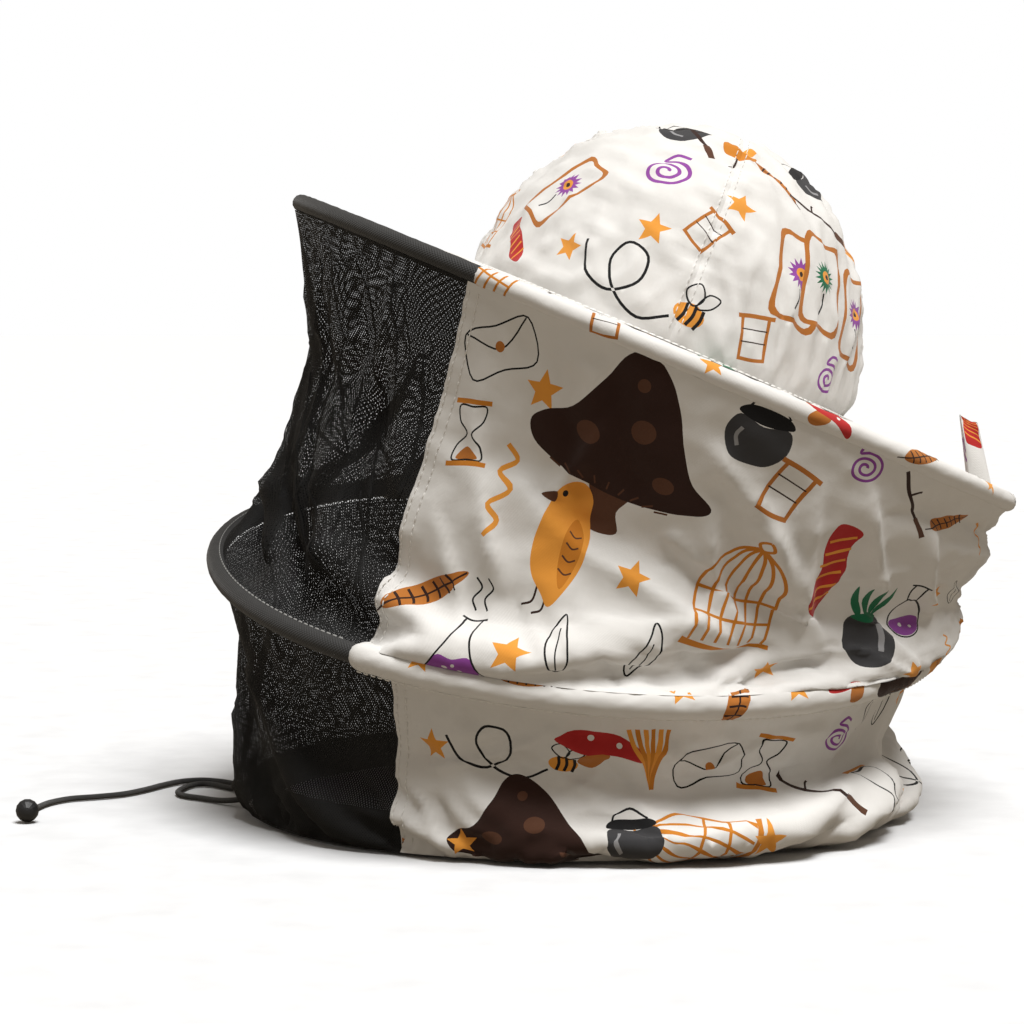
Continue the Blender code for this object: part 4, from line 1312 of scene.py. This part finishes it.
def make_casing_stitches():
    for name, ring, radius, lift, first, last, out, thread, body, slot in (
            ("hoop_net_stitches", HOOP, HOOP_RADIUS - 0.0012, 0.0047, 126, 234, (-0.2, 0.98),
             THREAD_GREY, "hoop", "black_net"),
            ("hoop_cotton_stitches", HOOP, HOOP_RADIUS + 0.0030, -0.0063, -124, 124,
             (0.42, -0.9), THREAD_WHITE, "hoop", "white_cotton"),
            ("brim_cotton_stitches", HAT, BRIM_RADIUS - 0.0040, 0.0030, -119, 119,
             (-0.7, 0.7), THREAD_WHITE, "hat", "white_cotton"),
            ("brim_net_stitches", HAT, BRIM_RADIUS - 0.0036, 0.0030, 121, 239,
             (-0.7, 0.7), THREAD_WHITE, "hat", "black_net"),
            ("hem_inner_stitches", HEM, HEM_RADIUS - 0.0035, 0.0160, -118, 118,
             (-1.0, 0.3), THREAD_WHITE, "skirt", "white_cotton")):
        worn(ring_stitches(name, ring, radius, lift, first, last, out, thread), body, slot)


# ---------------------------------------------------------------- hat
EDGE_CLEAR = 0.0005       # how near its cloth's edge the print may come


def disc_grid(inner, outer, spacing):
    """Points of a disc or a ring, and the borders its seams and edges run along."""
    rows = int((outer - inner) / spacing)
    radii = np.linspace(inner, outer, rows + 1)
    points, rings, rays = [], [], [[] for _ in range(4)]
    for r in radii:
        start = len(points)
        if r < 1e-6:
            points.append((0.0, 0.0))
            for ray in rays:
                ray.append(start)
            continue
        count = 4 * max(2, int(TAU * r / spacing / 4.0))
        points += list(polar(r, np.arange(count) / count * TAU))
        rings.append(np.append(np.arange(start, start + count), start))
        for k, ray in enumerate(rays):
            ray.append(start + k * count // 4)
    borders = [rings[-1]] + ([rings[0]] if inner > 0.0 else [np.array(r) for r in rays])
    return np.array(points), borders


def crown_point(plan):
    """The crown over a point of its flat plan, with its puckered seams and wrinkles."""
    far, turn = np.hypot(plan[:, 0], plan[:, 1]), np.arctan2(plan[:, 1], plan[:, 0])
    share = far / CROWN_ARC
    angle = 0.5 * math.pi * share
    radius, height = CROWN_RADIUS * np.sin(angle), CROWN_HEIGHT * np.cos(angle) + CROWN_BASE
    off_seam = np.abs((turn / (0.5 * math.pi) + 0.5) % 1.0 - 0.5) * 0.5 * math.pi * radius
    groove = -0.0009 * np.exp(-(off_seam / 0.0016) ** 2) + 0.0005 * np.exp(
        -((off_seam - 0.0045) / 0.003) ** 2)
    pucker = 0.0007 * np.sin(far / 0.0016 + 1.7 * np.sin(far / 0.009)) * np.exp(
        -off_seam / 0.013)
    across, along = plan @ np.array(DRAG_ACROSS), plan @ np.array(DRAG_ALONG)
    wrinkles = crumple(plan[:, 0], plan[:, 1], 0.0015, 15, 0.018, 0.07)
    wrinkles += crumple(across, DRAG_STRETCH * along, 0.0019, 17, 0.015, 0.045)
    wrinkles = np.maximum(wrinkles + CROWN_EASE, -CROWN_EASE)
    level = np.sin(share * 21.0 + 2.0 * np.sin(turn * 3.0 + 1.0)) * np.exp(-off_seam / 0.05)
    out = groove + pucker + wrinkles + 0.0010 * level * (share > 0.25)
    out = out * np.clip((1.0 - share) / 0.04, 0.0, 1.0) + 0.0004
    n = np.column_stack([polar(np.sin(angle), turn), np.cos(angle)])
    p = np.column_stack([polar(radius, turn), height])
    return p + n * out[:, None], n


def part_of(vertices, plan, faces, inks, chosen):
    """The chosen faces with only the points they use."""
    used, index = np.unique(faces[chosen], return_inverse=True)
    return vertices[used], plan[used], index.reshape(-1, 3), inks[chosen]


def on_crown(places):
    """The print laid on the crown's flat plan."""
    shapes = []
    for turn, down, colour, outline in laid_out(places):
        far = down * CROWN_ARC - outline[:, 1]
        wide = CROWN_RADIUS * np.sin(0.5 * math.pi * np.clip(far / CROWN_ARC, 0.05, 1.0))
        angle = turn + outline[:, 0] / wide
        far = np.clip(far, 0.002, CROWN_ARC - EDGE_CLEAR)
        shapes.append((colour, polar(far, angle)))
    return shapes


def make_crown():
    """Four gores cut from one printed dome, with two rows of stitches beside each seam."""
    grid, borders = disc_grid(0.0, CROWN_ARC, PRINT_GRID)
    plan, faces, centres, inks = inked_plan(grid, on_crown(CROWN_PRINT), PRINT_GRID, borders)
    points = placed(HAT, crown_point(plan)[0])
    quarter = (np.arctan2(centres[:, 1], centres[:, 0]) % TAU // (TAU / 4)).astype(int)
    far = np.linspace(0.012, CROWN_ARC - 0.002, 110)
    inset = 0.0022 / (CROWN_RADIUS * np.sin(0.5 * math.pi * far / CROWN_ARC))
    for k, name in enumerate(("back_right", "front_right", "front_left", "back_left")):
        v, p, f, i = part_of(points, plan, faces, inks, quarter == k)
        gore = make_piece("crown_cloth_" + name, v, f, COTTON, p, i)
        worn(gore, "hat", "white_cotton", "crown_gore_" + name)
        for j, side in enumerate((-1, 1)):
            line, n = crown_point(polar(far, k * TAU / 4 + side * inset))
            row = stitches(f"crown_seam_stitches_{name}_{j + 1}",
                           placed(HAT, line + n * 0.0002), placed(HAT, n, True))
            worn(row, "hat", "white_cotton")


def make_brim():
    """The brim's two printed plies, falling a little towards their edge, and their rows of
    stitches."""
    inner, wide = BRIM_INNER, BRIM_EDGE - BRIM_INNER
    grid, borders = disc_grid(inner, BRIM_EDGE, NET_GRID)
    shapes = []
    for turn, down, colour, outline in laid_out(scattered(41, 0, 360, (0.30, 0.74), 24, 0.8)):
        middle = inner + down * wide
        far = np.clip(middle - outline[:, 1], inner + EDGE_CLEAR, BRIM_EDGE - EDGE_CLEAR)
        shapes.append((colour, polar(far, turn + outline[:, 0] / middle)))
    plan, faces, centres, inks = inked_plan(grid, shapes, NET_GRID, borders)
    kept = np.hypot(centres[:, 0], centres[:, 1]) > inner * 0.9995
    share = np.clip((np.hypot(plan[:, 0], plan[:, 1]) - inner) / wide, 0.0, 1.0)
    free = np.clip(np.minimum(share, 1.0 - share) / 0.08, 0.0, 1.0)
    wave = crumple(plan[:, 0], plan[:, 1], 0.0011, 16, 0.02, 0.07) * free
    for side, lift, ripple, order in (("upper", 0.0, 1.0, 1),
                                      ("lower", -BRIM_PLY_GAP, -0.5, -1)):
        height = CROWN_BASE - BRIM_RISE * share + lift + wave * ripple
        points = placed(HAT, np.column_stack([plan, height]))
        v, p, f, i = part_of(points, plan, faces, inks, kept)
        ply = make_piece(f"brim_{side}_cloth", v, f[:, ::order], COTTON, p, i)
        worn(ply, "hat", "white_cotton", f"brim_{side}_ply")
    for k, radius in enumerate((0.0985, 0.1010, 0.1720)):
        lift = CROWN_BASE + 0.0007 - BRIM_RISE * (radius - inner) / wide
        row = ring_stitches(f"brim_topstitching_{k + 1}", HAT, radius, lift, 0, 360, (0.0, 1.0))
        worn(row, "hat", "white_cotton")


def make_sweatband():
    """Woven webbing inside the crown, folded at its edges."""
    inset, tall, thick = 0.0034, 0.030, 0.0009

    def place(turn, round_it):
        angle = TAU * round_it
        c, s = np.cos(angle), np.sin(angle)
        up = 0.5 * tall * np.sign(s) * np.abs(s) ** 0.5
        height = up + 0.5 * tall + CROWN_BASE + 0.002
        shrink = np.sqrt(np.clip(1.0 - ((height - CROWN_BASE) / CROWN_HEIGHT) ** 2, 0.0, 1.0))
        radius = CROWN_RADIUS * shrink - inset - thick * np.sign(c) * np.abs(c) ** 0.5
        return placed(HAT, np.column_stack([polar(radius, turn), height]))

    webbing = cloth_band("sweatband_webbing", place, 0, 360, CROWN_RADIUS, 2 * tall, 0.004,
                         material=WEBBING)
    layer = webbing.data.color_attributes["ink"].data
    layer.foreach_set("color", np.tile((*WEBBING_CREAM, 1.0), len(layer)).astype(np.float32))
    worn(webbing, "hat", "sweatband_cotton", "sweatband")


# ---------------------------------------------------------------- hanging loop
def make_hanging_loop():
    """A strip of the print, folded over and sewn upright on the back of the brim."""
    foot = HAT @ Vector((0.170, 0.0, 0.0032))
    slope = HAT.to_3x3() @ Vector((1.0, 0.0, 0.0))
    lean = Vector((-math.sin(math.radians(10.0)), 0.0, math.cos(math.radians(10.0))))
    tall, bulge, wide, thick = 0.0315, 0.0036, 0.0118, 0.0011
    length = 2.0 * tall + 0.010

    def place(turn, round_it):
        """turn runs along the strip, 0 to 1 radian, and round_it round its section."""
        run = (turn - 0.5) * 2.0
        rise = 1.0 - np.abs(run) ** 2.6
        angle = TAU * round_it
        c, s = np.cos(angle), np.sin(angle)
        narrow = 1.0 - 0.24 * rise
        across = 0.5 * wide * narrow * np.sign(c) * np.abs(c) ** 0.4
        fold = 0.0030 * rise ** 6 * (np.abs(across) / (0.5 * wide)) ** 1.5
        out = thick * 0.5 * np.sign(s) * np.abs(s) ** 0.8
        side = bulge * np.sin(run * math.pi * 0.5) * (1.0 - 0.25 * np.cos(run * math.pi))
        side = side + 0.0006 * np.sin(9.0 * run + 300.0 * across)
        up = tall * rise * (1.0 - 0.05 * np.cos(run * 3.0)) + fold + out * (1.0 - np.abs(run))
        side = side + out * run
        base = np.array(foot) + np.zeros((len(turn), 3))
        return (base + across[:, None] * np.array(slope) + up[:, None] * np.array(lean)
                + np.stack([0 * side, side, 0 * side], -1))

    places = [(17, 0.25, pennant, 0.42, 90), (40, 0.25, star, 0.7, 20),
              (12, 0.75, pennant, 0.42, 90), (34, 0.75, star, 0.7, 10),
              (24, 0.2, twig, 0.5, 0), (50, 0.75, spiral, 0.5, 0)]
    strip = cloth_band("hanging_loop_strip", place, 0, math.degrees(1.0), length, 2.2 * wide,
                         0.0012, places)
    worn(strip, "loop", "white_cotton", "hanging_loop")


# ---------------------------------------------------------------- kept solids
def finish_kept_solids():
    """Better materials for the wires, their sleeves, the hidden drawstring and the ball."""
    for node, material in (("brim_wire", STEEL), ("lower_hoop", STEEL),
                           ("brim_wire_sleeve", ALUMINIUM), ("lower_hoop_sleeve", ALUMINIUM),
                           ("drawstring_in_hem", ELASTIC), ("drawstring_ball", BALL)):
        mesh = bpy.data.objects[node].data
        mesh.materials.clear()
        mesh.materials.append(material)


# ---------------------------------------------------------------- studio
def seen_apart(tree, seen, unseen, output):
    """Shows one shader to the camera, and the other to all the light that falls elsewhere."""
    path, mix = tree.nodes.new("ShaderNodeLightPath"), tree.nodes.new("ShaderNodeMixShader")
    for start, end in ((path.outputs["Is Camera Ray"], mix.inputs[0]),
                       (unseen.outputs[0], mix.inputs[1]), (seen.outputs[0], mix.inputs[2]),
                       (mix.outputs[0], tree.nodes[output].inputs["Surface"])):
        tree.links.new(start, end)


def make_studio():
    """A pale floor and a white background, which light the object less than they look, and
    one broad soft light from above."""
    pale = plain("pale_floor", (0.70, 0.71, 0.725), 0.85, grain=40.0, depth=0.0)
    dim = pale.node_tree.nodes.new("ShaderNodeBsdfDiffuse")
    dim.inputs["Color"].default_value = (0.24, 0.21, 0.17, 1.0)
    seen_apart(pale.node_tree, pale.node_tree.nodes["Principled BSDF"], dim, "Material Output")
    half, level = 40, -0.0002
    floor = make_piece("studio_floor", [(-half, -half, level), (half, -half, level),
                                        (half, half, level), (-half, half, level)],
                       [(0, 1, 2, 3)], pale)
    world = bpy.data.worlds.new("studio")
    world.use_nodes = True
    fill, white = (world.node_tree.nodes["Background"],
                   world.node_tree.nodes.new("ShaderNodeBackground"))
    fill.inputs["Color"].default_value = (0.285, 0.255, 0.220, 1.0)
    white.inputs["Color"].default_value = (1.0, 1.0, 1.0, 1.0)
    seen_apart(world.node_tree, white, fill, "World Output")
    bpy.context.scene.world = world
    bpy.context.scene.view_settings.view_transform = "Standard"
    sky = bpy.data.lights.new("soft_overhead", "SUN")
    sky.energy, sky.angle, sky.color = 4.3, math.radians(30.0), (1.0, 0.995, 0.985)
    lamp = bpy.data.objects.new("soft_overhead", sky)
    bpy.context.scene.collection.objects.link(lamp)
    lamp.rotation_euler = Vector((-0.20, 0.32, -1.0)).to_track_quat("-Z", "Y").to_euler()


make_fabric_walls()
make_wired_casings()
make_hem()
make_casing_stitches()
make_crown()
make_brim()
make_sweatband()
make_hanging_loop()
finish_kept_solids()
make_studio()
